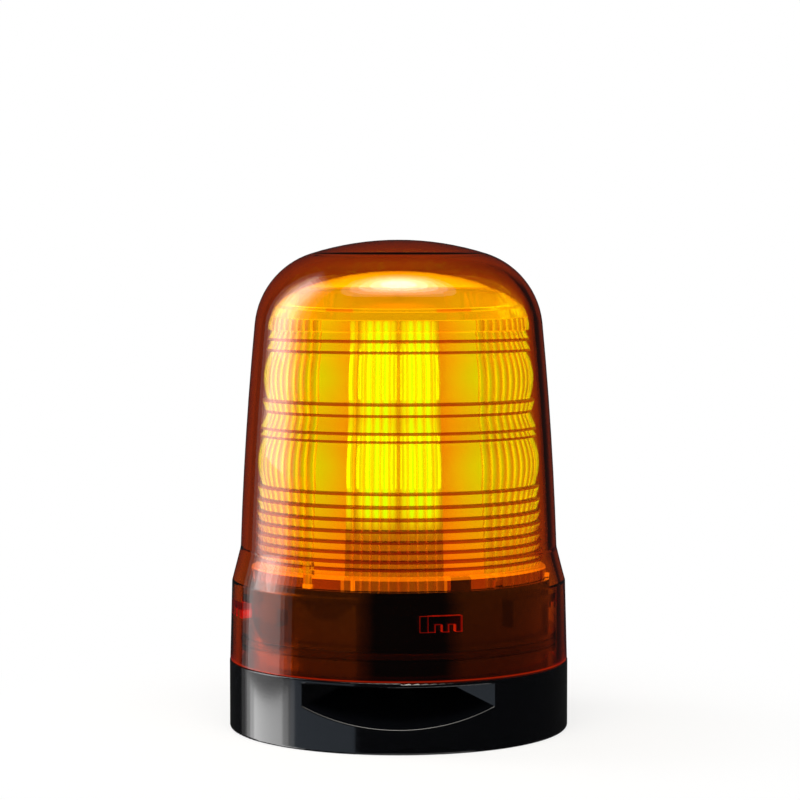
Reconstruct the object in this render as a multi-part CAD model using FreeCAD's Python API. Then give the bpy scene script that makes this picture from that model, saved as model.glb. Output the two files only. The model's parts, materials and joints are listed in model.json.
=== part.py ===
import FreeCAD, Part

import math
import os

from FreeCAD import Vector

# Signal beacon: a twist-off amber globe over a ringed inner lens and a square lamp tower,
# on a black base that holds the electronics and a sounder behind a scooped outlet.
# Millimetres, +Z up, origin at the centre of the base's underside, front towards -Y.
# Azimuths are in degrees from the front, counter-clockwise as seen from above.

# Base housing
base_radius = 50.0
base_height = 20.2
base_wall = 2.6
ledge_thickness = 2.4
bottom_round = 0.8
ledge_round = 0.5
neck_height = 24.3
neck_wall = 2.4
deck_thickness = 2.6

# Sound outlet scooped out of the base's front
outlet_half_width = 27.1
outlet_back_half_width = 11.6
outlet_sill_level = 7.0
outlet_lip = 1.4
outlet_floor_slope = 34.0
outlet_wall = 2.2
outlet_edge_round = 0.4
sound_slot_length = 12.0
sound_slot_width = 4.4
sound_slot_margin = 2.3

# Globe
rim_gap = 0.2
rim_step = 0.15
skirt_wall = 2.75
skirt_height = 22.9
skirt_draft = 0.62
flare_height = 9.8
flare_step = 2.55
flare_foot_round = 1.6
flare_head_round = 4.0
globe_wall = 2.4
barrel_rise = 63.3
barrel_taper = 4.05
barrel_bow = 0.47
shoulder_radius = 24.0
crown_radius = 85.0
crown_gap = 5.6

# Twist lock between globe and neck
lug_count = 4
lug_azimuth = 14.5
lug_height_above_ledge = 13.65
lug_length = 12.0
lug_height = 4.5
lug_depth = 2.1
lug_clearance = 0.4
lug_notch_width = 2.0
lug_notch_height = 2.1
lug_lead_length = 2.4
lug_lead_depth = 1.3
unlock_angle = 20.0
lock_clearance = 0.3
lock_flange_height = 2.4
lock_flange_gap = 0.4
lock_stop_length = 1.0
lock_stop_play = 0.7

# Seal between globe and neck
seal_gap = 0.2
seal_height_above_ledge = 6.8
seal_side_play = 0.25
seal_rib_height = 1.2

# Inner lens
lens_gap = 1.6
lens_wall = 3.4
lens_foot_height = 4.0
lens_foot_step = 0.5
lens_bulge_height = 13.7
lens_bulge_sag = 1.6
lens_ring_depth = 1.4
lens_ring_first = 3.77
lens_ring_shrink = 0.93
lens_low_ring_count = 8
lens_mid_ring_low = 2.3
lens_mid_ring_high = 3.3
lens_mid_land = 1.5
lens_mid_ring_top = 4.1
lens_top_ring_first = 3.2
lens_top_ring_count = 2
lens_dome_height = 18.5
lens_dome_wall = 2.6
lens_shoulder = 12.0
flute_periods = 4
wide_sector_angle = 36.0
wide_sector_flutes = 10
narrow_sector_angle = 19.0
narrow_sector_flutes = 5
flute_height = 0.55
flute_top_above_rings = 2.7
flute_top_step = 0.9
lens_notch_width = 3.0
lens_notch_height = 2.2
lens_notch_azimuth = 40.0
lens_peg_width = 2.2
lens_peg_depth = 1.0
lens_peg_height = 8.0
lens_peg_azimuth = -35.0
lens_clip_count = 3
lens_clip_azimuth = 25.0
lens_clip_width = 6.0
lens_clip_thickness = 1.8
lens_clip_hook = 0.9
lens_clip_hook_height = 1.6
lens_clip_play = 0.15

# Lamp tower
tower_sides = 4
tower_share = 0.24
tower_wall = 2.0
tower_foot_share = 0.36
tower_foot_thickness = 4.0
tower_above_row = 13.0
tower_screw_share = 0.304
hub_board_share = 0.42
hub_board_play = 0.15
lamp_board_edge = 1.0
lamp_board_thickness = 1.2
lamp_size = 5.0
lamp_column_pitch = 13.6
lamp_base_height = 0.9
lamp_dome_radius = 2.1
cap_overhang = 0.5
cap_thickness = 2.5

# Driver board and its parts
board_thickness = 1.6
board_level = 12.0
board_edge_gap = 1.0
board_front_gap = 1.2
capacitor_edge = 0.6
capacitor_groove = 0.35
capacitor_groove_level = 2.4
large_capacitor = (5.0, 16.0)
large_capacitor_place = (-20.0, 8.0)
small_capacitor = (4.0, 11.5)
small_capacitor_place = (-19.5, -5.0)
inductor_radius = 6.0
inductor_height = 9.0
inductor_flange = 1.5
inductor_step = 0.7
inductor_x = 18.0
inductor_gap = 2.3
controller_chip = (7.0, 7.0, 1.2)
controller_place = (-4.0, 6.0)
lamp_driver_chip = (5.0, 4.0, 1.5)
lamp_driver_place = (8.0, 4.0)
diode_chip = (4.5, 2.6, 2.2)
diode_place = (10.0, 12.0)
regulator_chip = (6.5, 6.0, 2.3)
regulator_x = -6.0
resistor_chip = (3.2, 1.6, 1.0)
resistor_x = 2.0
resistor_pitch = 4.0
chip_header_gap = 2.1

# Bottom cover, gasket and mounting inserts
cover_gap = 0.6
cover_thickness = 2.4
cover_edge_gap = 0.4
mount_inset = 8.5
mount_count = 3
insert_radius = 3.5
insert_bore_radius = 2.1
insert_length = 9.0
insert_press = 0.02
insert_boss_radius = 5.0
insert_boss_web = 4.0
boss_play = 0.4
gasket_width = 4.0
gasket_inset = 2.4
gasket_height = 2.0
gasket_lip = 1.5
gasket_rib = 1.2
board_post_radius = 3.2
window_play = 0.5

# Screws: head radius, head height, shank radius and length under the head
cover_screw = (2.8, 1.6, 1.2, 8.5)
board_screw = (2.4, 1.6, 1.2, 8.0)
tower_screw = (2.6, 1.8, 1.25, 6.0)
buzzer_screw = (2.2, 1.5, 1.0, 7.0)
cap_screw = (2.6, 1.8, 1.25, 6.0)
terminal_screw = (2.6, 1.8, 1.45, 6.0)
pilot_play = 0.05
pilot_spare = 0.5
hole_play = 0.35
screw_boss_radius = 3.5
screw_slot_width = 0.8
screw_slot_depth = 0.8

# Terminal block
pole_count = 5
pole_pitch = 7.2
terminal_depth = 14.0
terminal_height = 9.8
terminal_place = 8.0
barrier_thickness = 1.2
barrier_height = 4.4
terminal_back_wall = 1.4
terminal_plate_thickness = 0.9

# Setting switches and volume trimmer
switch_count = 4
switch_pitch = 2.54
switch_body_depth = 9.6
switch_body_height = 5.4
switch_body_margin = 2.0
switch_place = (-10.0, -13.0)
slider_width = 1.2
slider_length = 1.7
slider_travel = 1.6
slider_rise = 0.9
slider_step = 0.5
slider_seat = 2.0
slider_play = 0.15
trimmer_size = 7.0
trimmer_height = 5.0
trimmer_place = (10.0, -13.0)
rotor_radius = 2.3
rotor_height = 1.5
rotor_rise = 0.3
rotor_play = 0.12
rotor_pin_radius = 0.8
rotor_pin_length = 1.6
rotor_pin_play = 0.05
volume_hole_radius = 4.0

# Sounder
buzzer_radius = 15.0
buzzer_height = 10.0
buzzer_shell = 1.2
buzzer_port_radius = 3.0
buzzer_disc_thickness = 0.4
buzzer_seat_height = 1.4
buzzer_wall_gap = 0.5
buzzer_cup_wall = 1.6
buzzer_cup_height = 3.0
buzzer_cup_play = 0.3
buzzer_gasket_width = 1.5
strap_width = 8.0
strap_thickness = 1.2
strap_post_gap = 1.2
strap_post_radius = 3.0

# Wiring inside
wire_radius = 0.7
wire_pitch = 1.6
lamp_wire_count = 4
lamp_wire_azimuth = 180.0
hub_header_inset = 3.1
lamp_header_gap = 2.0
buzzer_wire_count = 2
buzzer_wire_pitch = 2.5
buzzer_wire_rise = 1.0
buzzer_header_gap = 1.0
header_depth = 4.6
header_height = 5.0
header_margin = 2.0
plug_height = 4.5
wire_hole_play = 1.0

# Sizes that follow from the ones above
deck_level = base_height + neck_height
deck_under = deck_level - deck_thickness
base_inner_radius = base_radius - base_wall
ledge_under = base_height - ledge_thickness
rim_level = base_height + rim_gap
skirt_foot_radius = base_radius - rim_step
skirt_top_radius = skirt_foot_radius - skirt_draft
skirt_inner_radius = skirt_foot_radius - skirt_wall
skirt_top_level = rim_level + skirt_height
barrel_foot_radius = skirt_top_radius - flare_step
barrel_foot_level = skirt_top_level + flare_height
neck_radius = skirt_inner_radius - lug_depth - lug_clearance
neck_inner_radius = neck_radius - neck_wall
lock_flange_radius = skirt_inner_radius - lock_flange_gap
lug_level = base_height + lug_height_above_ledge
lug_top = lug_level + lug_height
lock_flange_level = lug_top + lock_clearance
seal_level = base_height + seal_height_above_ledge
seal_section_radius = (skirt_inner_radius - seal_gap - neck_radius) / 2

cover_top = cover_gap + cover_thickness
board_top = board_level + board_thickness
mount_circle_radius = base_radius - mount_inset
board_radius = mount_circle_radius - insert_boss_radius - board_edge_gap
gasket_outer_radius = mount_circle_radius - insert_boss_radius - gasket_inset
gasket_inner_radius = gasket_outer_radius - gasket_width
board_post_circle = (gasket_outer_radius + gasket_inner_radius) / 2

outlet_ceiling = base_height - outlet_lip
outlet_front = -math.sqrt(base_radius**2 - outlet_half_width**2)
outlet_rise = math.tan(math.radians(outlet_floor_slope))
outlet_back = -base_radius + (outlet_ceiling - outlet_sill_level) / outlet_rise
sound_deck_top = outlet_ceiling + outlet_wall

buzzer_y = -(neck_inner_radius - buzzer_radius - buzzer_wall_gap)
buzzer_cup_radius = buzzer_radius + buzzer_cup_play + buzzer_cup_wall
buzzer_bottom = sound_deck_top + buzzer_seat_height
buzzer_top = buzzer_bottom + buzzer_height
sound_slot_y = buzzer_y - buzzer_radius + buzzer_gasket_width + sound_slot_margin + sound_slot_width / 2
strap_post_x = buzzer_cup_radius + strap_post_gap + strap_post_radius
inductor_reach = buzzer_cup_radius + inductor_radius + inductor_gap
inductor_y = buzzer_y + math.sqrt(inductor_reach**2 - inductor_x**2)
buzzer_header_y = buzzer_y + buzzer_cup_radius + buzzer_header_gap + header_depth / 2
lamp_wire_drop_radius = board_post_circle - board_screw[0] - lamp_header_gap - header_depth / 2


def ring_heights(first, count):
    """Heights of prism rings that shrink away from their bulge, the nearest first."""
    return [first * lens_ring_shrink**i for i in range(count)]


low_rings = ring_heights(lens_ring_first, lens_low_ring_count)
top_rings = ring_heights(lens_top_ring_first, lens_top_ring_count)
lens_foot_top = deck_level + lens_foot_height
low_bulge_level = lens_foot_top + sum(low_rings)
mid_ring_level = low_bulge_level + lens_bulge_height
mid_land_level = mid_ring_level + lens_mid_ring_low + lens_mid_ring_high
high_bulge_level = mid_land_level + lens_mid_land + lens_mid_ring_top
top_ring_level = high_bulge_level + lens_bulge_height
lens_dome_level = top_ring_level + sum(top_rings)
lens_top = lens_dome_level + lens_dome_height
flute_top = lens_dome_level + flute_top_above_rings
overall_height = lens_top + crown_gap + globe_wall
lamp_rows = (low_bulge_level + lens_bulge_height / 2, high_bulge_level + lens_bulge_height / 2)

tower_apothem = tower_share * base_radius
tower_foot_radius = tower_foot_share * base_radius
tower_screw_radius = tower_screw_share * base_radius
hub_board_radius = hub_board_share * base_radius
lamp_board_width = 2 * (tower_apothem - lamp_board_edge)
lamp_wire_hub_radius = hub_board_radius - hub_header_inset
tower_foot_top = deck_level + tower_foot_thickness
hub_board_top = tower_foot_top + board_thickness
tower_top = lamp_rows[1] + tower_above_row
lamp_face = tower_apothem + lamp_board_thickness


def point(r, z):
    return Vector(r, 0, z)


def on_circle(radius, azimuth):
    """x and y of a point at that radius and azimuth."""
    a = math.radians(azimuth)
    return radius * math.sin(a), -radius * math.cos(a)


def turned(shape, azimuth):
    """A copy of a shape drawn at the front, carried round to an azimuth."""
    copy = shape.copy()
    copy.rotate(Vector(0, 0, 0), Vector(0, 0, 1), azimuth)
    return copy


def moved(shape, x, y, z):
    copy = shape.copy()
    copy.translate(Vector(x, y, z))
    return copy


def joined(shapes):
    first, *others = shapes
    return first.fuse(others).removeSplitter()


def block(x, y, low, high, size_x, size_y):
    """An upright box centred on x and y."""
    return Part.makeBox(size_x, size_y, high - low, Vector(x - size_x / 2, y - size_y / 2, low))


def rod(x, y, low, high, radius):
    return Part.makeCylinder(radius, high - low, Vector(x, y, low))


def ring(inner, outer, low, high):
    return rod(0, 0, low, high, outer).cut(rod(0, 0, low, high, inner))


def sector(inner, outer, low, high, start, end):
    """Part of a ring between two azimuths."""
    corners = [point(inner, low), point(outer, low), point(outer, high), point(inner, high)]
    face = Part.Face(Part.makePolygon(corners + corners[:1]))
    swept = face.revolve(Vector(0, 0, 0), Vector(0, 0, 1), end - start)
    return turned(swept, start - 90)


def prism(corners, low, high):
    """An upright solid on a plan outline of x, y corners."""
    wire = Part.makePolygon([Vector(x, y, low) for x, y in corners + corners[:1]])
    return Part.Face(wire).extrude(Vector(0, 0, high - low))


def tower_plan(apothem):
    """Corners of the tower's plan, with one flat side facing the front."""
    reach = apothem / math.cos(math.pi / tower_sides)
    return [on_circle(reach, 360 * (i + 0.5) / tower_sides) for i in range(tower_sides)]


def degrees_of(length, radius):
    return math.degrees(length / radius)


class Outline:
    """A closed profile in the radius and height plane, drawn edge by edge and turned about Z."""

    def __init__(self, r, z):
        self.start = self.here = point(r, z)
        self.edges = []

    def line(self, r, z):
        end = point(r, z)
        self.edges.append(Part.LineSegment(self.here, end).toShape())
        self.here = end
        return self

    def arc(self, middle, end):
        self.edges.append(Part.Arc(self.here, point(*middle), point(*end)).toShape())
        self.here = point(*end)
        return self

    def dome(self, radius, base, height, shoulder):
        """From the outline's last point, upright, round a shoulder arc and over a crown arc to the axis."""
        turn_r = radius - shoulder
        crown = (turn_r**2 + height**2 - shoulder**2) / (2 * (height - shoulder))
        lean = math.atan2(turn_r, crown - height)
        crown_base = base + height - crown

        def on_crown(angle):
            return crown * math.sin(angle), crown_base + crown * math.cos(angle)

        half = (math.pi / 2 - lean) / 2
        middle = (turn_r + shoulder * math.cos(half), base + shoulder * math.sin(half))
        self.arc(middle, on_crown(lean))
        return self.arc(on_crown(lean / 2), on_crown(0))

    def solid(self):
        self.line(self.start.x, self.start.z)
        face = Part.Face(Part.Wire(self.edges))
        return face.revolve(Vector(0, 0, 0), Vector(0, 0, 1), 360)


def screw(sizes, x, y, level, upward):
    """A slotted pan-head screw whose head rests on level; its shank runs up or down from there."""
    head_radius, head_height, shank_radius, length = sizes
    head = Part.makeCylinder(head_radius, head_height)
    shank = Part.makeCylinder(shank_radius, length + head_height / 2, Vector(0, 0, -length))
    slot = block(0, 0, head_height - screw_slot_depth, head_height + 1, 3 * head_radius, screw_slot_width)
    body = head.fuse(shank).removeSplitter().cut(slot)
    if upward:
        body.rotate(Vector(0, 0, 0), Vector(1, 0, 0), 180)
    return moved(body, x, y, level)


def save(name, *solids):
    """Writes one node; several solids stay separate inside it."""
    shape = solids[0] if len(solids) == 1 else Part.makeCompound(list(solids))
    shape.exportStep(os.path.join("parts", name + ".step"))


# Globe

def barrel_circle():
    """Centre r, centre z and radius of the long arc that the globe's side follows."""
    chord = math.hypot(barrel_taper, barrel_rise)
    radius = chord**2 / (8 * barrel_bow) + barrel_bow / 2
    middle_r = barrel_foot_radius - barrel_taper / 2
    middle_z = barrel_foot_level + barrel_rise / 2
    back = barrel_bow - radius
    return middle_r + back * barrel_rise / chord, middle_z + back * barrel_taper / chord, radius


side_r, side_z, side_radius = barrel_circle()
crown_z = overall_height - crown_radius


def barrel_at(level, inset=0.0):
    """Radius of the globe's side at a level, inset from its outer face."""
    return side_r + math.sqrt((side_radius - inset) ** 2 - (level - side_z) ** 2)


def shoulder_centre():
    """Centre of the arc that touches both the side and the crown from inside."""
    to_side, to_crown = side_radius - shoulder_radius, crown_radius - shoulder_radius
    gap = math.hypot(side_r, side_z - crown_z)
    along = (gap**2 + to_crown**2 - to_side**2) / (2 * gap)
    across = math.sqrt(to_crown**2 - along**2)
    unit_r, unit_z = side_r / gap, (side_z - crown_z) / gap
    choices = [(along * unit_r - s * across * unit_z, crown_z + along * unit_z + s * across * unit_r)
               for s in (1, -1)]
    return max(choices, key=lambda c: c[1])


def globe_points(inset):
    """Side foot, side middle, side end, shoulder middle, shoulder end, crown middle and apex."""
    centre_r, centre_z = shoulder_centre()
    side_reach = math.hypot(centre_r - side_r, centre_z - side_z)
    crown_reach = math.hypot(centre_r, centre_z - crown_z)
    side_share, crown_share = (side_radius - inset) / side_reach, (crown_radius - inset) / crown_reach
    side_end = (side_r + (centre_r - side_r) * side_share, side_z + (centre_z - side_z) * side_share)
    crown_end = (centre_r * crown_share, crown_z + (centre_z - crown_z) * crown_share)
    foot = (barrel_at(barrel_foot_level, inset), barrel_foot_level)
    middle_level = (foot[1] + side_end[1]) / 2
    side_middle = (barrel_at(middle_level, inset), middle_level)
    lean = (math.atan2(side_end[1] - centre_z, side_end[0] - centre_r)
            + math.atan2(crown_end[1] - centre_z, crown_end[0] - centre_r)) / 2
    reach = shoulder_radius - inset
    shoulder_middle = (centre_r + reach * math.cos(lean), centre_z + reach * math.sin(lean))
    crown_lean = math.asin(crown_end[0] / (crown_radius - inset)) / 2
    crown_middle = ((crown_radius - inset) * math.sin(crown_lean),
                    crown_z + (crown_radius - inset) * math.cos(crown_lean))
    apex = (0, overall_height - inset)
    return foot, side_middle, side_end, shoulder_middle, crown_end, crown_middle, apex


def globe_shell():
    foot, side_middle, side_end, shoulder_middle, crown_end, crown_middle, apex = globe_points(0)
    outer = Outline(0, rim_level).line(skirt_foot_radius, rim_level)
    outer.line(skirt_top_radius, skirt_top_level).line(*foot)
    outer.arc(side_middle, side_end).arc(shoulder_middle, crown_end).arc(crown_middle, apex)
    body = outer.solid()
    flare_edges = {skirt_top_level: flare_foot_round, barrel_foot_level: flare_head_round}
    for level, radius in flare_edges.items():
        edges = [e for e in body.Edges if abs(e.BoundBox.ZMin - level) < 0.01 and e.BoundBox.ZLength < 0.01]
        body = body.makeFillet(radius, edges)
    foot, side_middle, side_end, shoulder_middle, crown_end, crown_middle, apex = globe_points(globe_wall)
    inner = Outline(0, rim_level).line(skirt_inner_radius, rim_level)
    inner.line(skirt_inner_radius, skirt_top_level).line(*foot)
    inner.arc(side_middle, side_end).arc(shoulder_middle, crown_end).arc(crown_middle, apex)
    return body.cut(inner.solid())


def lug():
    """One lock lug on the skirt's inside: a bar with two relief notches and a shallow lead-in end."""
    tip = skirt_inner_radius - lug_depth
    root = skirt_inner_radius + skirt_wall / 4
    half = degrees_of(lug_length, skirt_inner_radius) / 2
    lead = degrees_of(lug_lead_length, skirt_inner_radius)
    notch = degrees_of(lug_notch_width, skirt_inner_radius)
    bar = sector(tip, root, lug_level, lug_top, -half + lead, half)
    lead_in = sector(skirt_inner_radius - lug_lead_depth, root, lug_level, lug_top, -half, -half + lead)
    space = (2 * half - lead - 2 * notch) / 3
    body = bar.fuse(lead_in).removeSplitter()
    for i in range(2):
        start = -half + lead + space + i * (notch + space)
        relief = sector(tip - 1, skirt_inner_radius, lug_level - 1, lug_level + lug_notch_height,
                        start, start + notch)
        body = body.cut(relief)
    return turned(body, lug_azimuth)


def globe():
    lugs = [turned(lug(), 360 * i / lug_count) for i in range(lug_count)]
    return joined([globe_shell()] + lugs)


# Base housing

def outlet_form(grow, top):
    """The scooped wedge of the sound outlet, grown on its floor and sides, up to a top level."""
    run_x = outlet_half_width - outlet_back_half_width
    run_y = outlet_front - outlet_back
    run = math.hypot(run_x, run_y)
    along_x, along_y = run_x / run, run_y / run
    out_x, out_y = -along_y, along_x
    start_x = outlet_back_half_width + grow * out_x
    start_y = outlet_back + grow * out_y

    def side_at(y):
        return start_x + (y - start_y) / along_y * along_x

    front, back = -base_radius - 2, outlet_back + grow
    right = [(side_at(front), front), (side_at(back), back)]
    plan = [(-x, y) for x, y in reversed(right)] + right
    drop = grow / math.cos(math.radians(outlet_floor_slope))

    def floor_at(y):
        return outlet_sill_level - drop + (y + base_radius) * outlet_rise

    reach = side_at(front) + 1
    meets = -base_radius + (top - outlet_sill_level + drop) / outlet_rise
    corners = [Vector(-reach, y, z) for y, z in ((front, floor_at(front)), (meets, top), (front, top))]
    slope = Part.Face(Part.makePolygon(corners + corners[:1])).extrude(Vector(2 * reach, 0, 0))
    return slope.common(prism(plan, 0, top))


def housing_shell():
    outer = Outline(0, 0).line(base_radius, 0).line(base_radius, base_height)
    outer.line(neck_radius, base_height).line(neck_radius, deck_level).line(0, deck_level)
    inner = Outline(0, -1).line(base_inner_radius, -1).line(base_inner_radius, ledge_under)
    inner.line(neck_inner_radius, ledge_under).line(neck_inner_radius, deck_under).line(0, deck_under)
    body = outer.solid()
    for level, radius in {0.0: bottom_round, base_height: ledge_round}.items():
        edges = [e for e in body.Edges if abs(e.BoundBox.ZMin - level) < 0.01
                 and e.BoundBox.ZLength < 0.01 and e.BoundBox.XMax > base_radius - 0.01]
        body = body.makeFillet(radius, edges)
    return body.cut(inner.solid())


def lock_parts():
    """The neck's lock flange with its entry gaps, the lugs' end stops and the seal's two ribs."""
    half = degrees_of(lug_length, skirt_inner_radius) / 2
    play = degrees_of(lock_stop_play, skirt_inner_radius)
    stop = degrees_of(lock_stop_length, skirt_inner_radius)
    pitch = 360 / lug_count
    root = neck_radius - neck_wall / 2
    flange_top = lock_flange_level + lock_flange_height
    entry_start = lug_azimuth + unlock_angle - half - play
    entry_end = lug_azimuth + unlock_angle + half + play
    stop_low = lug_level - lock_clearance
    first_stop = lug_azimuth - half - play
    parts = []
    for i in range(lug_count):
        turn = i * pitch
        parts.append(sector(root, lock_flange_radius, lock_flange_level, flange_top,
                            entry_end + turn, entry_start + pitch + turn))
        parts.append(sector(root, lock_flange_radius, stop_low, flange_top,
                            entry_end + turn, entry_end + stop + turn))
        parts.append(sector(root, lock_flange_radius, stop_low, flange_top,
                            first_stop - stop + turn, first_stop + turn))
    side = seal_section_radius + seal_side_play
    for low in (seal_level - side - seal_rib_height, seal_level + side):
        parts.append(ring(root, lock_flange_radius, low, low + seal_rib_height))
    return parts


def sound_deck():
    """The floor over the outlet that carries the sounder, with its cup wall and strap posts."""
    inside = rod(0, 0, 0, deck_level, neck_radius - neck_wall / 2)
    roof = outlet_form(outlet_wall, sound_deck_top + 1).common(
        rod(0, 0, outlet_ceiling, sound_deck_top, base_radius))
    plate = rod(0, buzzer_y, outlet_ceiling, sound_deck_top, buzzer_cup_radius)
    cup_top = sound_deck_top + buzzer_cup_height
    cup = rod(0, buzzer_y, outlet_ceiling, cup_top, buzzer_cup_radius).cut(
        rod(0, buzzer_y, sound_deck_top, cup_top, buzzer_cup_radius - buzzer_cup_wall))
    parts = [roof, plate, cup]
    for x in (-strap_post_x, strap_post_x):
        parts.append(rod(x, buzzer_y, outlet_ceiling, buzzer_top, strap_post_radius))
        parts.append(block(x / 2, buzzer_y, outlet_ceiling, sound_deck_top, abs(x), 2 * strap_post_radius))
    return [part.common(inside) for part in parts]


def insert_boss():
    boss = rod(0, -mount_circle_radius, 0, ledge_under + ledge_thickness / 2, insert_boss_radius)
    web_end = base_radius - base_wall / 2
    middle = -(mount_circle_radius + web_end) / 2
    web = block(0, middle, 0, ledge_under + ledge_thickness / 2, insert_boss_web,
                web_end - mount_circle_radius)
    return boss.fuse(web)


def cover_boss():
    top = ledge_under + ledge_thickness / 2
    return rod(0, -mount_circle_radius, cover_top, top, screw_boss_radius)


mount_azimuths = [60 + 360 * i / mount_count for i in range(mount_count)]
cover_azimuths = [360 * i / mount_count for i in range(mount_count)]
clip_azimuths = [lens_clip_azimuth + 360 * i / lens_clip_count for i in range(lens_clip_count)]
tower_azimuths = [360 * i / tower_sides for i in range(tower_sides)]


def wire_slot(count, pitch):
    """Length and width of a hole that lets a flat row of wires through."""
    return (count - 1) * pitch + 2 * wire_radius + 2 * wire_hole_play, 2 * wire_radius + 2 * wire_hole_play


def base_housing():
    outlet_block = outlet_form(outlet_wall, base_height - ledge_round).common(
        rod(0, 0, 0, base_height, base_radius - base_wall / 2))
    parts = [housing_shell(), outlet_block] + lock_parts() + sound_deck()
    parts += [turned(insert_boss(), a) for a in mount_azimuths]
    parts += [turned(cover_boss(), a) for a in cover_azimuths]
    body = joined(parts)

    cuts = [outlet_form(0, outlet_ceiling)]
    slot_ends = (sound_slot_length - sound_slot_width) / 2
    slot_low, slot_high = outlet_ceiling - 1, sound_deck_top + 1
    cuts.append(block(0, sound_slot_y, slot_low, slot_high, 2 * slot_ends, sound_slot_width))
    for x in (-slot_ends, slot_ends):
        cuts.append(rod(x, sound_slot_y, slot_low, slot_high, sound_slot_width / 2))
    insert_hole = rod(0, -mount_circle_radius, -1, insert_length, insert_radius + insert_press)
    cuts += [turned(insert_hole, a) for a in mount_azimuths]
    pilot = cover_screw[2] + pilot_play
    pilot_top = cover_gap + cover_screw[1] + cover_screw[3] + pilot_spare
    cuts += [turned(rod(0, -mount_circle_radius, 0, pilot_top, pilot), a) for a in cover_azimuths]
    strap_pilot = buzzer_screw[2] + pilot_play
    for x in (-strap_post_x, strap_post_x):
        cuts.append(rod(x, buzzer_y, buzzer_top - buzzer_screw[3], buzzer_top + 1, strap_pilot))
    tower_hole = rod(0, -tower_screw_radius, 0, deck_level + 1, tower_screw[2] + hole_play)
    cuts += [turned(tower_hole, a) for a in tower_azimuths]
    cuts += [turned(clip_slot(), a) for a in clip_azimuths]
    length, width = wire_slot(lamp_wire_count, wire_pitch)
    wire_hole = block(0, -lamp_wire_drop_radius, deck_under - 1, deck_level + 1, length, width)
    cuts.append(turned(wire_hole, lamp_wire_azimuth))
    body = body.cut(cuts)

    def on_mouth(edge):
        samples = [edge.valueAt(edge.FirstParameter + t * (edge.LastParameter - edge.FirstParameter))
                   for t in (0.1, 0.5, 0.9)]
        return all(abs(math.hypot(p.x, p.y) - base_radius) < 0.01
                   and outlet_sill_level - 0.1 < p.z < outlet_ceiling + 0.1
                   and abs(p.x) < outlet_half_width + 0.1 and p.y < 0 for p in samples)

    return body.makeFillet(outlet_edge_round, [e for e in body.Edges if on_mouth(e)])


def neck_seal():
    circle = Part.makeCircle(seal_section_radius, point(neck_radius + seal_section_radius, seal_level),
                             Vector(0, 1, 0))
    return Part.Face(Part.Wire([circle])).revolve(Vector(0, 0, 0), Vector(0, 0, 1), 360)


# Bottom cover, gasket and inserts

def switch_body_width():
    return switch_count * switch_pitch + switch_body_margin


def cover_screw_form(grow):
    """A countersunk screw standing on its head, with its tip up."""
    head_radius, head_height, shank_radius, length = cover_screw
    outline = Outline(0, cover_gap).line(head_radius + grow, cover_gap)
    outline.line(shank_radius + grow, cover_gap + head_height)
    outline.line(shank_radius + grow, cover_gap + head_height + length)
    outline.line(0, cover_gap + head_height + length)
    return moved(outline.solid(), 0, -mount_circle_radius, 0)


def bottom_cover():
    plate = rod(0, 0, cover_gap, cover_top, base_inner_radius - cover_edge_gap)
    rib_top = gasket_height + gasket_lip + gasket_rib
    rib = ring(gasket_inner_radius - gasket_lip, gasket_outer_radius + gasket_lip, cover_gap, rib_top)
    posts = [turned(rod(0, -board_post_circle, cover_gap, board_level, board_post_radius), a)
             for a in mount_azimuths]
    body = joined([plate, rib] + posts)
    cuts = [ring(gasket_inner_radius, gasket_outer_radius, cover_gap - 1, gasket_height)]
    boss_clear = insert_boss_radius + boss_play
    boss_hole = rod(0, -mount_circle_radius, 0, rib_top + 1, boss_clear)
    boss_gap = block(0, -base_radius, 0, rib_top + 1, 2 * boss_clear, 2 * mount_inset)
    pilot_low = board_top - board_screw[3] - pilot_spare
    pilot = rod(0, -board_post_circle, pilot_low, board_level + 1, board_screw[2] + pilot_play)
    cuts += [turned(tool, a) for tool in (boss_hole, boss_gap, pilot) for a in mount_azimuths]
    cuts += [turned(cover_screw_form(pilot_play), a) for a in cover_azimuths]
    cuts.append(block(0, terminal_place, 0, rib_top + 1, pole_count * pole_pitch + barrier_thickness
                      + 2 * window_play, terminal_depth + 2 * window_play))
    cuts.append(block(*switch_place, 0, rib_top + 1, switch_body_width() + 2 * window_play,
                      switch_body_depth + 2 * window_play))
    cuts.append(rod(*trimmer_place, 0, rib_top + 1, volume_hole_radius))
    return body.cut(cuts)


def cover_screws():
    slot = block(0, -mount_circle_radius, cover_gap - 1, cover_gap + screw_slot_depth,
                 3 * cover_screw[0], screw_slot_width)
    body = cover_screw_form(0).cut(slot)
    return [turned(body, a) for a in cover_azimuths]


def threaded_inserts():
    insert = rod(0, -mount_circle_radius, 0, insert_length, insert_radius)
    insert = insert.cut(rod(0, -mount_circle_radius, -1, insert_length + 1, insert_bore_radius))
    return [turned(insert, a) for a in mount_azimuths]


# Driver board and what is soldered to it

def driver_board():
    front = outlet_back + outlet_wall + board_front_gap
    disc = rod(0, 0, board_level, board_top, board_radius)
    body = disc.cut(block(0, front - board_radius, board_level - 1, board_top + 1, 3 * board_radius,
                          2 * board_radius))
    hole = rod(0, -board_post_circle, board_level - 1, board_top + 1, board_screw[2] + hole_play)
    return body.cut([turned(hole, a) for a in mount_azimuths])


def board_screws():
    x, y = on_circle(board_post_circle, 0)
    return [turned(screw(board_screw, x, y, board_top, False), a) for a in mount_azimuths]


def capacitor(sizes, place):
    radius, height = sizes
    can = Part.makeCylinder(radius, height)
    bead = Part.makeTorus(radius, capacitor_groove, Vector(0, 0, capacitor_groove_level))
    top_edge = [e for e in can.Edges if abs(e.BoundBox.ZMin - height) < 0.01]
    return moved(can.makeFillet(capacitor_edge, top_edge).cut(bead), *place, board_top)


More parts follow.
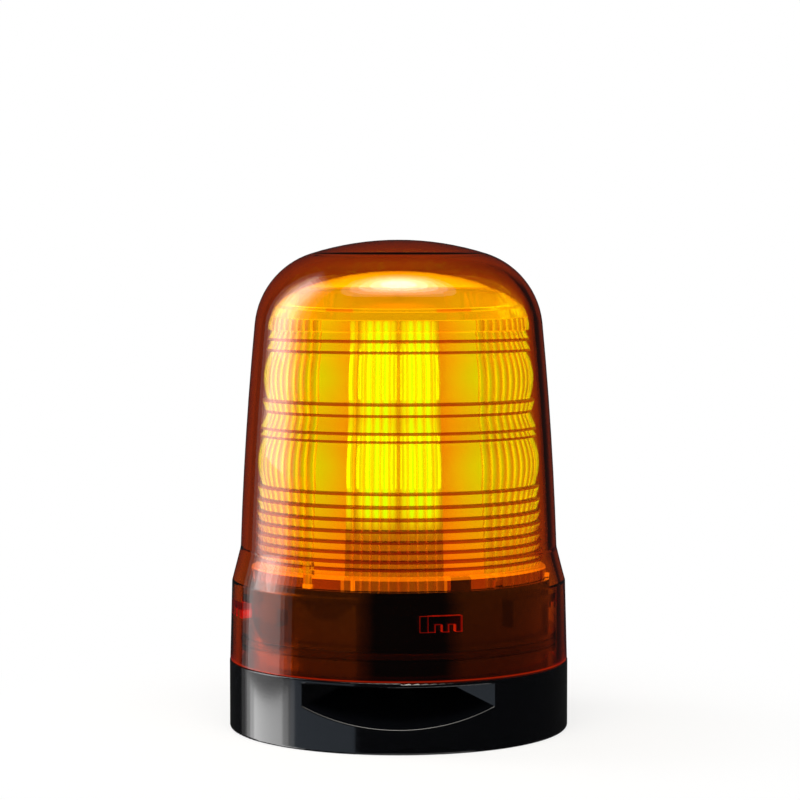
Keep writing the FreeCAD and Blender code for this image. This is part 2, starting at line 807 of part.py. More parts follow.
def inductor():
    """A drum core: two flanges with the winding between them."""
    flange, waist = inductor_flange, inductor_radius - inductor_step
    outline = Outline(0, 0).line(inductor_radius, 0).line(inductor_radius, flange).line(waist, flange)
    outline.line(waist, inductor_height - flange).line(inductor_radius, inductor_height - flange)
    outline.line(inductor_radius, inductor_height).line(0, inductor_height)
    return moved(outline.solid(), inductor_x, inductor_y, board_top)


def chip(sizes, x, y):
    size_x, size_y, height = sizes
    return block(x, y, board_top, board_top + height, size_x, size_y)


def board_chips():
    """The larger chips, of which those at the back keep clear of the lamp wires' header."""
    back = lamp_wire_drop_radius - header_depth / 2 - chip_header_gap
    chips = [chip(controller_chip, *controller_place), chip(lamp_driver_chip, *lamp_driver_place),
             chip(diode_chip, *diode_place), chip(regulator_chip, regulator_x, back - regulator_chip[1] / 2)]
    for i in range(2):
        chips.append(chip(resistor_chip, resistor_x, back - resistor_chip[1] / 2 - i * resistor_pitch))
    return chips


def terminal_width():
    return pole_count * pole_pitch + barrier_thickness


def terminal_level():
    """Level of the terminals' faces, which look down through the cover's window."""
    return board_level - terminal_height + barrier_height


def pole_places():
    return [(i - (pole_count - 1) / 2) * pole_pitch for i in range(pole_count)]


def terminal_block():
    low = board_level - terminal_height
    body = block(0, terminal_place, low, board_level, terminal_width(), terminal_depth)
    cuts = []
    for x in pole_places():
        cuts.append(block(x, terminal_place - terminal_back_wall, low - 1, terminal_level(),
                          pole_pitch - barrier_thickness, terminal_depth))
        cuts.append(rod(x, terminal_place, low, terminal_level() + terminal_screw[3],
                        terminal_screw[2] + pilot_play))
    return body.cut(cuts)


def terminal_plates():
    """The flat clamp plates under the terminal screws."""
    plates = []
    size_x = pole_pitch - barrier_thickness - 2 * slider_play
    for x in pole_places():
        low = terminal_level() - terminal_plate_thickness
        plate = block(x, terminal_place - terminal_back_wall / 2, low, terminal_level(), size_x,
                      terminal_depth - 2 * terminal_back_wall)
        plates.append(plate.cut(rod(x, terminal_place, 0, board_level, terminal_screw[2] + hole_play)))
    return plates


def terminal_screws():
    level = terminal_level() - terminal_plate_thickness
    return [screw(terminal_screw, x, terminal_place, level, True) for x in pole_places()]


# Setting switches and volume trimmer

def switch_slot_places():
    x, _ = switch_place
    return [x + (i - (switch_count - 1) / 2) * switch_pitch for i in range(switch_count)]


def switch_body():
    low = board_level - switch_body_height
    body = block(*switch_place, low, board_level, switch_body_width(), switch_body_depth)
    slot_length = slider_length + slider_travel + 2 * slider_play
    cuts = [block(x, switch_place[1], low - 1, low + slider_seat + slider_play,
                  slider_width + 2 * slider_play, slot_length) for x in switch_slot_places()]
    return body.cut(cuts)


def switch_slider(index):
    """One slider, stored at the front end of its slot, with a stepped thumb tip."""
    low = board_level - switch_body_height
    x = switch_slot_places()[index]
    y = switch_place[1] - slider_travel / 2
    foot = block(x, y, low, low + slider_seat, slider_width, slider_length)
    tip = block(x, y, low - slider_rise, low + slider_seat, slider_width, slider_length - slider_step)
    return joined([foot, tip])


def trimmer_body():
    low = board_level - trimmer_height
    body = block(*trimmer_place, low, board_level, trimmer_size, trimmer_size)
    well_top = low + rotor_height - rotor_rise + rotor_play
    well = rod(*trimmer_place, low - 1, well_top, rotor_radius + rotor_play)
    pin_top = well_top + rotor_pin_length
    pin_hole = rod(*trimmer_place, low, pin_top, rotor_pin_radius + rotor_pin_play)
    return body.cut([well, pin_hole])


def trimmer_rotor():
    low = board_level - trimmer_height - rotor_rise
    rotor = rod(*trimmer_place, low, low + rotor_height, rotor_radius)
    pin = rod(*trimmer_place, low, low + rotor_height + rotor_pin_length, rotor_pin_radius)
    slot = block(*trimmer_place, low - 1, low + rotor_height / 2, 3 * rotor_radius, screw_slot_width)
    return joined([rotor, pin]).cut(slot)


# Sounder

def buzzer_case():
    """A flat can with a sound port in its lower face and a chamber above it for the disc."""
    low = buzzer_bottom
    outer = rod(0, buzzer_y, low, buzzer_top, buzzer_radius)
    rim = [e for e in outer.Edges if abs(e.BoundBox.ZMin - buzzer_top) < 0.01]
    outer = outer.makeFillet(buzzer_shell / 2, rim)
    chamber = rod(0, buzzer_y, low + buzzer_shell, buzzer_top - buzzer_shell, buzzer_radius - buzzer_shell)
    shelf = rod(0, buzzer_y, low + buzzer_shell, low + 2 * buzzer_shell, buzzer_radius - buzzer_shell).cut(
        rod(0, buzzer_y, low, buzzer_top, buzzer_radius - 3 * buzzer_shell))
    port = rod(0, buzzer_y, low - 1, low + 2 * buzzer_shell, buzzer_port_radius)
    return outer.cut([chamber, port]).fuse(shelf).removeSplitter()


def buzzer_disc():
    low = buzzer_bottom + 2 * buzzer_shell
    return rod(0, buzzer_y, low, low + buzzer_disc_thickness, buzzer_radius - buzzer_shell - hole_play)


def buzzer_gasket():
    outer = rod(0, buzzer_y, sound_deck_top, buzzer_bottom, buzzer_radius)
    return outer.cut(rod(0, buzzer_y, sound_deck_top, buzzer_bottom, buzzer_radius - buzzer_gasket_width))


def buzzer_strap():
    length = 2 * (strap_post_x + strap_post_radius)
    body = block(0, buzzer_y, buzzer_top, buzzer_top + strap_thickness, length, strap_width)
    upright = [e for e in body.Edges if e.BoundBox.ZLength > strap_thickness / 2]
    body = body.makeFillet(strap_post_radius, upright)
    holes = [rod(x, buzzer_y, buzzer_top - 1, buzzer_top + strap_thickness + 1, buzzer_screw[2] + hole_play)
             for x in (-strap_post_x, strap_post_x)]
    return body.cut(holes)


def buzzer_screws():
    return [screw(buzzer_screw, x, buzzer_y, buzzer_top + strap_thickness, False)
            for x in (-strap_post_x, strap_post_x)]


# Wiring

def header(width, level):
    """A shrouded pin header drawn at the origin: a box with a pocket and a row of notches."""
    body = block(0, 0, level, level + header_height, width, header_depth)
    wall = header_depth / 6
    pocket = block(0, 0, level + header_height / 2, level + header_height + 1, width - 2 * wall,
                   header_depth - 2 * wall)
    return body.cut(pocket)


def plug(width, level):
    """The mating plug, seated in the header's pocket with a latch rib on one side."""
    wall, play = header_depth / 6, slider_play
    seat = level + header_height / 2
    top = level + header_height + plug_height
    tongue = block(0, 0, seat, top, width - 2 * wall - 2 * play, header_depth - 2 * wall - 2 * play)
    head = block(0, 0, level + header_height, top, width, header_depth)
    return joined([tongue, head])


def header_width(count, pitch):
    return (count - 1) * pitch + 2 * wire_radius + header_margin


def wire_row(count, pitch):
    return [(i - (count - 1) / 2) * pitch for i in range(count)]


def looped_wire(side, start, start_level, end, end_level, crest):
    """A wire that rises at one radius, loops over in a half circle and drops at another.
    It is drawn in the plane of the front, with side as its offset across that plane."""
    top_middle = (start + end) / 2
    bend = abs(end - start) / 2
    a, b = Vector(side, -start, start_level), Vector(side, -start, crest)
    c, d = Vector(side, -end, crest), Vector(side, -end, end_level)
    over = Vector(side, -top_middle, crest + bend)
    pieces = (Part.LineSegment(a, b), Part.Arc(b, over, c), Part.LineSegment(c, d))
    edges = [piece.toShape() for piece in pieces]
    circle = Part.Wire([Part.makeCircle(wire_radius, a, Vector(0, 0, 1))])
    return Part.Wire(edges).makePipeShell([circle], True, False)


def lamp_wiring():
    """Header and plug on the hub board, the looped wires, and the plug and header on the driver board."""
    width = header_width(lamp_wire_count, wire_pitch)
    places = ((lamp_wire_hub_radius, hub_board_top), (lamp_wire_drop_radius, board_top))
    shapes = []
    for radius, level in places:
        shapes.append(moved(header(width, level), 0, -radius, 0))
        shapes.append(moved(plug(width, level), 0, -radius, 0))
    low = hub_board_top + header_height + plug_height
    end = board_top + header_height + plug_height
    crest = low + 4 * wire_radius
    wires = [looped_wire(side, lamp_wire_hub_radius, low, lamp_wire_drop_radius, end, crest)
             for side in wire_row(lamp_wire_count, wire_pitch)]
    return [turned(s, lamp_wire_azimuth) for s in shapes], [turned(w, lamp_wire_azimuth) for w in wires]


def buzzer_wiring():
    """The sounder's two leads and their header and plug on the driver board."""
    width = header_width(buzzer_wire_count, buzzer_wire_pitch)
    y = buzzer_header_y
    end = board_top + header_height + plug_height
    start_y = buzzer_y + (buzzer_radius + strap_width / 2) / 2
    crest = buzzer_top + buzzer_wire_rise
    wires = [looped_wire(side, -start_y, buzzer_top, -y, end, crest)
             for side in wire_row(buzzer_wire_count, buzzer_wire_pitch)]
    return moved(header(width, board_top), 0, y, 0), moved(plug(width, board_top), 0, y, 0), wires


# Lamp tower

def lamp_tower():
    """A hollow square post on a round foot, closed at the top by a web for the cap's screw."""
    foot = rod(0, 0, deck_level, tower_foot_top, tower_foot_radius)
    post = prism(tower_plan(tower_apothem), deck_level, tower_top)
    hollow = prism(tower_plan(tower_apothem - tower_wall), deck_level - 1, tower_top - cap_screw[3])
    pilot = rod(0, 0, tower_top - cap_screw[3], tower_top + 1, cap_screw[2] + pilot_play)
    pilot_top = deck_under + tower_screw[3] + pilot_spare / 2
    hole = rod(0, -tower_screw_radius, deck_level - 1, pilot_top, tower_screw[2] + pilot_play)
    return joined([foot, post]).cut([hollow, pilot] + [turned(hole, a) for a in tower_azimuths])


def tower_screws():
    x, y = on_circle(tower_screw_radius, 0)
    return [turned(screw(tower_screw, x, y, deck_under, True), a) for a in tower_azimuths]


def hub_board():
    disc = rod(0, 0, tower_foot_top, hub_board_top, hub_board_radius)
    opening = tower_plan(tower_apothem + hub_board_play)
    return disc.cut(prism(opening, tower_foot_top - 1, hub_board_top + 1))


def lamp_board(index):
    board = block(0, -tower_apothem - lamp_board_thickness / 2, hub_board_top, tower_top,
                  lamp_board_width, lamp_board_thickness)
    return turned(board, tower_azimuths[index])


def lamp():
    """One lamp package: a square base with a round dome, facing the front."""
    base = Part.makeBox(lamp_size, lamp_base_height, lamp_size,
                        Vector(-lamp_size / 2, -lamp_face - lamp_base_height, -lamp_size / 2))
    dome = Part.makeSphere(lamp_dome_radius, Vector(0, -lamp_face - lamp_base_height, 0))
    outside = Part.makeBox(lamp_size, lamp_dome_radius + 1, lamp_size,
                           Vector(-lamp_size / 2, -lamp_face - lamp_dome_radius - 1 - lamp_base_height / 2,
                                  -lamp_size / 2))
    return base.fuse(dome.common(outside)).removeSplitter()


def lamps():
    """Two rows of two lamps on each face, one row behind each bulge of the lens."""
    return [turned(moved(lamp(), x, 0, level), a) for a in tower_azimuths for level in lamp_rows
            for x in (-lamp_column_pitch / 2, lamp_column_pitch / 2)]


def tower_cap():
    plate = prism(tower_plan(lamp_face + cap_overhang), tower_top, tower_top + cap_thickness)
    return plate.cut(rod(0, 0, tower_top - 1, tower_top + cap_thickness + 1, cap_screw[2] + hole_play))


# Inner lens

def lens_envelope(level):
    """Radius of the prism rings' tips, a steady gap inside the globe."""
    return barrel_at(level, globe_wall + lens_gap)


def lens_outer():
    """The ringed outside: prisms thicken towards the bulge that they belong to."""
    foot_radius = lens_envelope(lens_foot_top) + lens_foot_step
    outline = Outline(0, deck_level).line(foot_radius, deck_level).line(foot_radius, lens_foot_top)
    level = lens_foot_top

    def rising_ring(height):
        outline.line(lens_envelope(level) - lens_ring_depth, level)
        outline.line(lens_envelope(level + height), level + height)

    def falling_ring(height):
        outline.line(lens_envelope(level), level)
        outline.line(lens_envelope(level + height) - lens_ring_depth, level + height)

    def bulge():
        top, middle = level + lens_bulge_height, level + lens_bulge_height / 2
        outline.line(lens_envelope(level) - lens_bulge_sag, level)
        outline.arc((lens_envelope(middle), middle), (lens_envelope(top) - lens_bulge_sag, top))

    for height in reversed(low_rings):
        rising_ring(height)
        level += height
    bulge()
    level += lens_bulge_height
    for height in (lens_mid_ring_low, lens_mid_ring_high):
        falling_ring(height)
        level += height
    level += lens_mid_land
    outline.line(lens_envelope(level) - lens_ring_depth - lens_foot_step, level)
    rising_ring(lens_mid_ring_top)
    level += lens_mid_ring_top
    bulge()
    level += lens_bulge_height
    for height in top_rings:
        falling_ring(height)
        level += height
    dome_radius = lens_envelope(level)
    outline.line(dome_radius, level).dome(dome_radius, level, lens_dome_height, lens_shoulder)
    return outline.solid()


def flute_wire(radius, level):
    """The bore's plan: sectors of inward half-round flutes between smooth windows."""
    edges = []

    def at(r, azimuth):
        return Vector(*on_circle(r, azimuth), level)

    def fluted(centre, angle, count):
        flute = angle / count
        for k in range(count):
            a = centre - angle / 2 + k * flute
            edges.append(Part.Arc(at(radius, a), at(radius - flute_height, a + flute / 2),
                                  at(radius, a + flute)).toShape())

    def window(start, end):
        edges.append(Part.Arc(at(radius, start), at(radius, (start + end) / 2), at(radius, end)).toShape())

    period = 360 / flute_periods
    for i in range(flute_periods):
        wide, narrow, following = i * period, (i + 0.5) * period, (i + 1) * period
        fluted(wide, wide_sector_angle, wide_sector_flutes)
        window(wide + wide_sector_angle / 2, narrow - narrow_sector_angle / 2)
        fluted(narrow, narrow_sector_angle, narrow_sector_flutes)
        window(narrow + narrow_sector_angle / 2, following - wide_sector_angle / 2)
    return Part.Wire(edges)


def lens_clip_radius():
    """Outer radius of the clips' tongues, just inside the bore's foot."""
    return lens_envelope(deck_level) - lens_wall - flute_height


def clip_slot():
    """The deck's slot for one lens clip."""
    outer = lens_clip_radius() + lens_clip_play
    inner = lens_clip_radius() - lens_clip_thickness - lens_clip_play
    return block(0, -(outer + inner) / 2, deck_under - 1, deck_level + 1,
                 lens_clip_width + 2 * lens_clip_play, outer - inner)


def lens_clip():
    """A tongue that passes the deck and hooks under it, carried by a short bridge from the lens wall."""
    outer = lens_clip_radius()
    inner = outer - lens_clip_thickness
    hook_top = deck_under - lens_clip_play
    tongue = block(0, -(outer + inner) / 2, hook_top - lens_clip_hook_height, lens_foot_top,
                   lens_clip_width, outer - inner)
    hook_reach = outer + lens_clip_hook
    hook = block(0, -(hook_reach + inner) / 2, hook_top - lens_clip_hook_height, hook_top,
                 lens_clip_width, hook_reach - inner)
    wall = lens_envelope(lens_foot_top) - lens_wall / 2
    bridge = block(0, -(wall + inner) / 2, deck_level, lens_foot_top, lens_clip_width, wall - inner)
    return joined([tongue, hook, bridge])


def inner_lens():
    bore_low = lens_envelope(deck_level) - lens_wall
    bore_high = lens_envelope(flute_top) - lens_wall
    slope = (bore_low - bore_high) / (flute_top - deck_level)
    flutes = Part.makeLoft([flute_wire(bore_low + slope, deck_level - 1), flute_wire(bore_high, flute_top)],
                           True, True)
    dome_bore = bore_high - flute_height - flute_top_step
    cavity = Outline(0, flute_top - 1).line(dome_bore, flute_top - 1).line(dome_bore, flute_top)
    cavity.dome(dome_bore, flute_top, lens_top - lens_dome_wall - flute_top, lens_shoulder - lens_dome_wall)
    foot_radius = lens_envelope(lens_foot_top) + lens_foot_step
    peg = rod(0, -foot_radius, deck_level, deck_level + lens_peg_height, lens_peg_width / 2)
    peg = peg.common(rod(0, 0, deck_level, lens_top, foot_radius + lens_peg_depth))
    pegs = [turned(peg, a - lens_clip_azimuth + lens_peg_azimuth) for a in clip_azimuths]
    notch_top = deck_level + lens_notch_height
    notch = block(0, -foot_radius, deck_level - 1, notch_top, lens_notch_width, 2 * lens_wall)
    notches = [turned(notch, a - lens_clip_azimuth + lens_notch_azimuth) for a in clip_azimuths]
    body = lens_outer().fuse(pegs).cut(notches).cut(flutes).cut(cavity.solid())
    return joined([body] + [turned(lens_clip(), a) for a in clip_azimuths])


def build():
    os.makedirs("parts", exist_ok=True)
    save("globe", globe())
    save("base_housing", base_housing())
    save("neck_seal", neck_seal())
    save("bottom_cover", bottom_cover())
    save("mounting_gasket", ring(gasket_inner_radius, gasket_outer_radius, 0, gasket_height))
    save("threaded_inserts", *threaded_inserts())
    save("cover_screws", *cover_screws())
    save("driver_board", driver_board())
    save("board_screws", *board_screws())
    save("capacitors", capacitor(large_capacitor, large_capacitor_place),
         capacitor(small_capacitor, small_capacitor_place))
    save("inductor", inductor())
    save("board_chips", *board_chips())
    save("terminal_block", terminal_block())
    save("terminal_plates", *terminal_plates())
    save("terminal_screws", *terminal_screws())
    save("switch_body", switch_body())
    for i in range(switch_count):
        save(f"switch_slider_{i + 1}", switch_slider(i))
    save("trimmer_body", trimmer_body())
    save("trimmer_rotor", trimmer_rotor())
    save("buzzer_case", buzzer_case())
    save("buzzer_disc", buzzer_disc())
    save("buzzer_gasket", buzzer_gasket())
    save("buzzer_strap", buzzer_strap())
    save("buzzer_screws", *buzzer_screws())
    (hub_header, hub_plug, lamp_header, lamp_plug), lamp_wires = lamp_wiring()
    save("hub_header", hub_header)
    save("hub_plug", hub_plug)
    save("lamp_header", lamp_header)
    save("lamp_plug", lamp_plug)
    save("lamp_wires", *lamp_wires)
    buzzer_header, buzzer_plug, buzzer_wires = buzzer_wiring()
    save("buzzer_header", buzzer_header)
    save("buzzer_plug", buzzer_plug)
    save("buzzer_wires", *buzzer_wires)
    save("lamp_tower", lamp_tower())
    save("tower_screws", *tower_screws())
    save("hub_board", hub_board())
    for i in range(tower_sides):
        save(f"lamp_board_{i + 1}", lamp_board(i))
    save("lamps", *lamps())
    save("tower_cap", tower_cap())
    save("cap_screw", screw(cap_screw, 0, 0, tower_top + cap_thickness, False))
    save("inner_lens", inner_lens())


build()
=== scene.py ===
import json
import math

import bmesh
import bpy
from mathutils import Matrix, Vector


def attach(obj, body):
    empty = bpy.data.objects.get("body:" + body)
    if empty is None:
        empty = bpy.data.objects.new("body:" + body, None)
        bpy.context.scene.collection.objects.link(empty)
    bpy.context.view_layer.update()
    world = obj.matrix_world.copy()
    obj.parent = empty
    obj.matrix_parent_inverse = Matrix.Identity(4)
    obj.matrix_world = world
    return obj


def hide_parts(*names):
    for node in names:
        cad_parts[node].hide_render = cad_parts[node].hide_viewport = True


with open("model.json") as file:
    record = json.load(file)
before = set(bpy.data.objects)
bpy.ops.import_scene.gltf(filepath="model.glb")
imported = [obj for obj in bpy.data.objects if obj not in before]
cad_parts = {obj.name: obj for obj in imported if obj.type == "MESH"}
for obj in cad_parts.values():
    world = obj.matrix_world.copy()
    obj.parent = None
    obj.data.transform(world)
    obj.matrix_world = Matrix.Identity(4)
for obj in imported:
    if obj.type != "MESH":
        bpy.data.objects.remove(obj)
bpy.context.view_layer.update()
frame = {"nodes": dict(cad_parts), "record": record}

MM = 0.001

# Lime light of the lamps, which the amber dye turns yellow
lamp_light = "#74ff40"

# Heights in mm between which the lens's painted glow is drawn, and up to which the lock lugs' ends
# have a painted glow
glow_foot, glow_top, lug_glow_top = 40.0, 140.0, 42.0


def colour(code):
    """Linear colour of an sRGB hex value."""
    parts = [int(code[i:i + 2], 16) / 255 for i in (1, 3, 5)]
    return [c / 12.92 if c <= 0.04045 else ((c + 0.055) / 1.055) ** 2.4 for c in parts] + [1.0]


def placed(name, data):
    """An object with this data, in the scene."""
    thing = bpy.data.objects.new(name, data)
    bpy.context.scene.collection.objects.link(thing)
    return thing


def mesh_from(name, made):
    """A mesh from a finished bmesh, which it uses up."""
    mesh = bpy.data.meshes.new(name)
    made.to_mesh(mesh)
    made.free()
    return mesh


# Materials


def add(tree, kind, inputs=None, stops=(), **settings):
    """Adds a node, sets its properties and colour stops, and sets or links its inputs."""
    made = tree.nodes.new(kind)
    for name, value in settings.items():
        setattr(made, name, value)
    for i, (position, shade) in enumerate(stops):
        stop = made.color_ramp.elements[i] if i < 2 else made.color_ramp.elements.new(1.0)
        stop.position, stop.color = position, shade
    for name, value in (inputs or {}).items():
        if isinstance(value, bpy.types.NodeSocket):
            tree.links.new(value, made.inputs[name])
        else:
            made.inputs[name].default_value = value
    return made


def new_material(name):
    """An empty material and its node tree."""
    made = bpy.data.materials.new(name)
    made.use_nodes = True
    made.node_tree.nodes.clear()
    return made, made.node_tree


def finish_material(tree, surface, volume=None):
    """Links a surface, and a volume if there is one, to a material's output."""
    end = add(tree, "ShaderNodeOutputMaterial", {"Surface": surface})
    if volume:
        tree.links.new(volume, end.inputs["Volume"])


def painted_lens_glow(tree, skin, place, strength, tints, levels, flutes=0, contrast=0.0, glow_gaps=0):
    """Painted glow that stands in for lamp light caught in the lens: a share for each height, less between
    flutes and least at the glow gaps, tinted by how much of it there is."""
    apart = add(tree, "ShaderNodeSeparateXYZ", {0: place})
    height = add(tree, "ShaderNodeMapRange", {
        "Value": apart.outputs["Z"], "From Min": glow_foot * MM, "From Max": glow_top * MM})
    level = add(tree, "ShaderNodeValToRGB", {"Fac": height.outputs["Result"]}, stops=[
        ((z - glow_foot) / (glow_top - glow_foot), (share, share, share, 1)) for z, share in levels])
    turn = add(tree, "ShaderNodeMath", {
        0: apart.outputs["X"], 1: apart.outputs["Y"]}, operation="ARCTAN2")
    share = level.outputs["Color"]
    # A cosine round the lens lowers the glow from where it passes a start, most of all at its crests
    for times, start, lowest in ((flutes, -1.0, 1 - contrast), (glow_gaps, 0.5, 0.35)):
        if not times:
            continue
        many = add(tree, "ShaderNodeMath", {0: turn.outputs[0], 1: times}, operation="MULTIPLY")
        wave = add(tree, "ShaderNodeMath", {0: many.outputs[0]}, operation="COSINE")
        dip = add(tree, "ShaderNodeMapRange", {
            "Value": wave.outputs[0], "From Min": start, "To Min": 1.0, "To Max": lowest})
        share = add(tree, "ShaderNodeMath", {0: dip.outputs[0], 1: share}, operation="MULTIPLY").outputs[0]
    glow = add(tree, "ShaderNodeValToRGB", {"Fac": share}, stops=[
        (i / len(tints), colour(code)) for i, code in enumerate((*tints, lamp_light))])
    tree.links.new(glow.outputs["Color"], skin.inputs["Emission Color"])
    skin.inputs["Emission Strength"].default_value = strength


def painted_lug_glow(tree, skin, found):
    """Painted red glow on the end faces of the lock lugs, low in the skirt, where light in the wall leaves.
    """
    place = found.outputs["Object"]
    flat = add(tree, "ShaderNodeVectorMath", {0: place, 1: (1, 1, 0)}, operation="MULTIPLY")
    outward = add(tree, "ShaderNodeVectorMath", {0: flat.outputs[0]}, operation="NORMALIZE")
    across = add(tree, "ShaderNodeVectorMath", {
        0: outward.outputs[0], 1: found.outputs["Normal"]}, operation="DOT_PRODUCT")
    endwise = add(tree, "ShaderNodeMath", {0: across.outputs["Value"]}, operation="ABSOLUTE")
    ends = add(tree, "ShaderNodeMapRange", {
        "Value": endwise.outputs[0], "From Min": 0.1, "From Max": 0.4, "To Min": 1.0, "To Max": 0.0})
    apart = add(tree, "ShaderNodeSeparateXYZ", {0: place})
    low = add(tree, "ShaderNodeMath", {0: apart.outputs["Z"], 1: lug_glow_top * MM}, operation="LESS_THAN")
    share = add(tree, "ShaderNodeMath", {0: ends.outputs[0], 1: low.outputs[0]}, operation="MULTIPLY")
    glow = add(tree, "ShaderNodeMix", {
        "Factor": share.outputs[0], "A": (0, 0, 0, 1), "B": colour("#ff4020")}, data_type="RGBA")
    tree.links.new(glow.outputs["Result"], skin.inputs["Emission Color"])
    skin.inputs["Emission Strength"].default_value = 0.3


def clear_amber(name, absorbed, density, roughness, tint="#ffffff", lit=None, lets_lamps_through=False):
    """Polycarbonate moulding: clear, strongly refracting, darker where its wall is seen lengthways."""
    made, tree = new_material(name)
    found = add(tree, "ShaderNodeTexCoord")
    place = found.outputs["Object"]
    ripple = add(tree, "ShaderNodeTexNoise", {"Vector": place, "Scale": 1 / (14 * MM), "Detail": 1.0})
    bump = add(tree, "ShaderNodeBump", {
        "Height": ripple.outputs["Fac"], "Strength": 0.05, "Distance": 0.1 * MM})
    # A tint other than white paints shade into the resin's colour
    skin = add(tree, "ShaderNodeBsdfPrincipled", {
        "Base Color": colour(tint), "Roughness": roughness, "IOR": 1.585,
        "Transmission Weight": 1.0, "Normal": bump.outputs["Normal"]})
    surface = skin.outputs["BSDF"]
    # Painted glow of the lamps' light, where it is asked for
    if lit:
        painted_lens_glow(tree, skin, place, **lit)
    if lets_lamps_through:
        # Painted red glow on the ends of the lock lugs
        painted_lug_glow(tree, skin, found)
        passing = add(tree, "ShaderNodeBsdfTransparent")
        ray = add(tree, "ShaderNodeLightPath")
        surface = add(tree, "ShaderNodeMixShader", {
            0: ray.outputs["Is Shadow Ray"], 1: surface, 2: passing.outputs["BSDF"]}).outputs["Shader"]
    dye = add(tree, "ShaderNodeVolumeAbsorption", {"Color": colour(absorbed), "Density": density})
    finish_material(tree, surface, dye.outputs["Volume"])
    return made


def moulded(name, base, roughness, grain_mm, grain_depth_mm, ior=1.5, shade=0.06):
    """Moulded plastic: an even colour with a slight cloud in it and a surface grain, drawn coarser than
    its real tenth of a millimetre or less, so that it shows."""
    made, tree = new_material(name)
    place = add(tree, "ShaderNodeTexCoord").outputs["Object"]
    cloud = add(tree, "ShaderNodeTexNoise", {"Vector": place, "Scale": 1 / (9 * MM), "Detail": 3.0})
    tone = add(tree, "ShaderNodeHueSaturation", {"Color": colour(base)})
    value = add(tree, "ShaderNodeMapRange", {
        "Value": cloud.outputs["Fac"], "To Min": 1 - shade, "To Max": 1 + shade})
    tree.links.new(value.outputs["Result"], tone.inputs["Value"])
    grain = add(tree, "ShaderNodeTexNoise", {"Vector": place, "Scale": 1 / (grain_mm * MM), "Detail": 2.0})
    bump = add(tree, "ShaderNodeBump", {
        "Height": grain.outputs["Fac"], "Strength": 0.6, "Distance": grain_depth_mm * MM})
    polish = add(tree, "ShaderNodeMapRange", {
        "Value": cloud.outputs["Fac"], "To Min": roughness * 0.85, "To Max": roughness * 1.15})
    skin = add(tree, "ShaderNodeBsdfPrincipled", {
        "Base Color": tone.outputs["Color"], "Roughness": polish.outputs["Result"], "IOR": ior,
        "Normal": bump.outputs["Normal"]})
    finish_material(tree, skin.outputs["BSDF"])
    return made


def metal(name, base, roughness, mark_mm, drawn=(1, 1, 1)):
    """Bare or plated metal: bright, with fine marks along an axis that spread its highlights, drawn some
    ten times coarser than real ones, so that they show."""
    made, tree = new_material(name)
    place = add(tree, "ShaderNodeTexCoord").outputs["Object"]
    drawn_out = add(tree, "ShaderNodeMapping", {"Vector": place, "Scale": [1 / way for way in drawn]})
    marks = add(tree, "ShaderNodeTexNoise", {
        "Vector": drawn_out.outputs["Vector"], "Scale": 1 / (mark_mm * MM), "Detail": 3.0})
    dulled = add(tree, "ShaderNodeTexNoise", {"Vector": place, "Scale": 1 / (4 * MM), "Detail": 2.0})
    tone = add(tree, "ShaderNodeHueSaturation", {"Color": colour(base)})
    value = add(tree, "ShaderNodeMapRange", {"Value": dulled.outputs["Fac"], "To Min": 0.85, "To Max": 1.1})
    tree.links.new(value.outputs["Result"], tone.inputs["Value"])
    spread = add(tree, "ShaderNodeMapRange", {
        "Value": marks.outputs["Fac"], "To Min": roughness * 0.8, "To Max": roughness * 1.25})
    bump = add(tree, "ShaderNodeBump", {
        "Height": marks.outputs["Fac"], "Strength": 0.3, "Distance": 0.01 * MM})
    skin = add(tree, "ShaderNodeBsdfPrincipled", {
        "Base Color": tone.outputs["Color"], "Metallic": 1.0, "Roughness": spread.outputs["Result"],
        "Normal": bump.outputs["Normal"]})
    finish_material(tree, skin.outputs["BSDF"])
    return made


def circuit_board(name, mask, track, pad):
    """Solder mask over glass laminate: copper tracks stand up under it and tinned pads come through it."""
    made, tree = new_material(name)
    place = add(tree, "ShaderNodeTexCoord").outputs["Object"]
    runs = add(tree, "ShaderNodeTexBrick", {
        "Vector": place, "Scale": 1 / MM,
        "Color1": (0, 0, 0, 1), "Color2": (0, 0, 0, 1), "Mortar": (1, 1, 1, 1),
        "Brick Width": 6.5, "Row Height": 1.6, "Mortar Size": 0.2, "Mortar Smooth": 0.3})
    vias = add(tree, "ShaderNodeTexVoronoi", {
        "Vector": place, "Scale": 1 / (3.2 * MM)}, voronoi_dimensions="2D")
    dots = add(tree, "ShaderNodeMath", {0: vias.outputs["Distance"], 1: 0.11}, operation="LESS_THAN")
    tone = add(tree, "ShaderNodeMix", {
        "Factor": runs.outputs["Color"], "A": colour(mask), "B": colour(track)}, data_type="RGBA")
    tone = add(tree, "ShaderNodeMix", {
        "Factor": dots.outputs[0], "A": tone.outputs["Result"], "B": colour(pad)}, data_type="RGBA")
    bump = add(tree, "ShaderNodeBump", {
        "Height": runs.outputs["Color"], "Strength": 0.5, "Distance": 0.04 * MM})
    polish = add(tree, "ShaderNodeMapRange", {"Value": dots.outputs[0], "To Min": 0.3, "To Max": 0.2})
    skin = add(tree, "ShaderNodeBsdfPrincipled", {
        "Base Color": tone.outputs["Result"], "Metallic": dots.outputs[0],
        "Roughness": polish.outputs["Result"], "IOR": 1.55, "Normal": bump.outputs["Normal"]})
    finish_material(tree, skin.outputs["BSDF"])
    return made


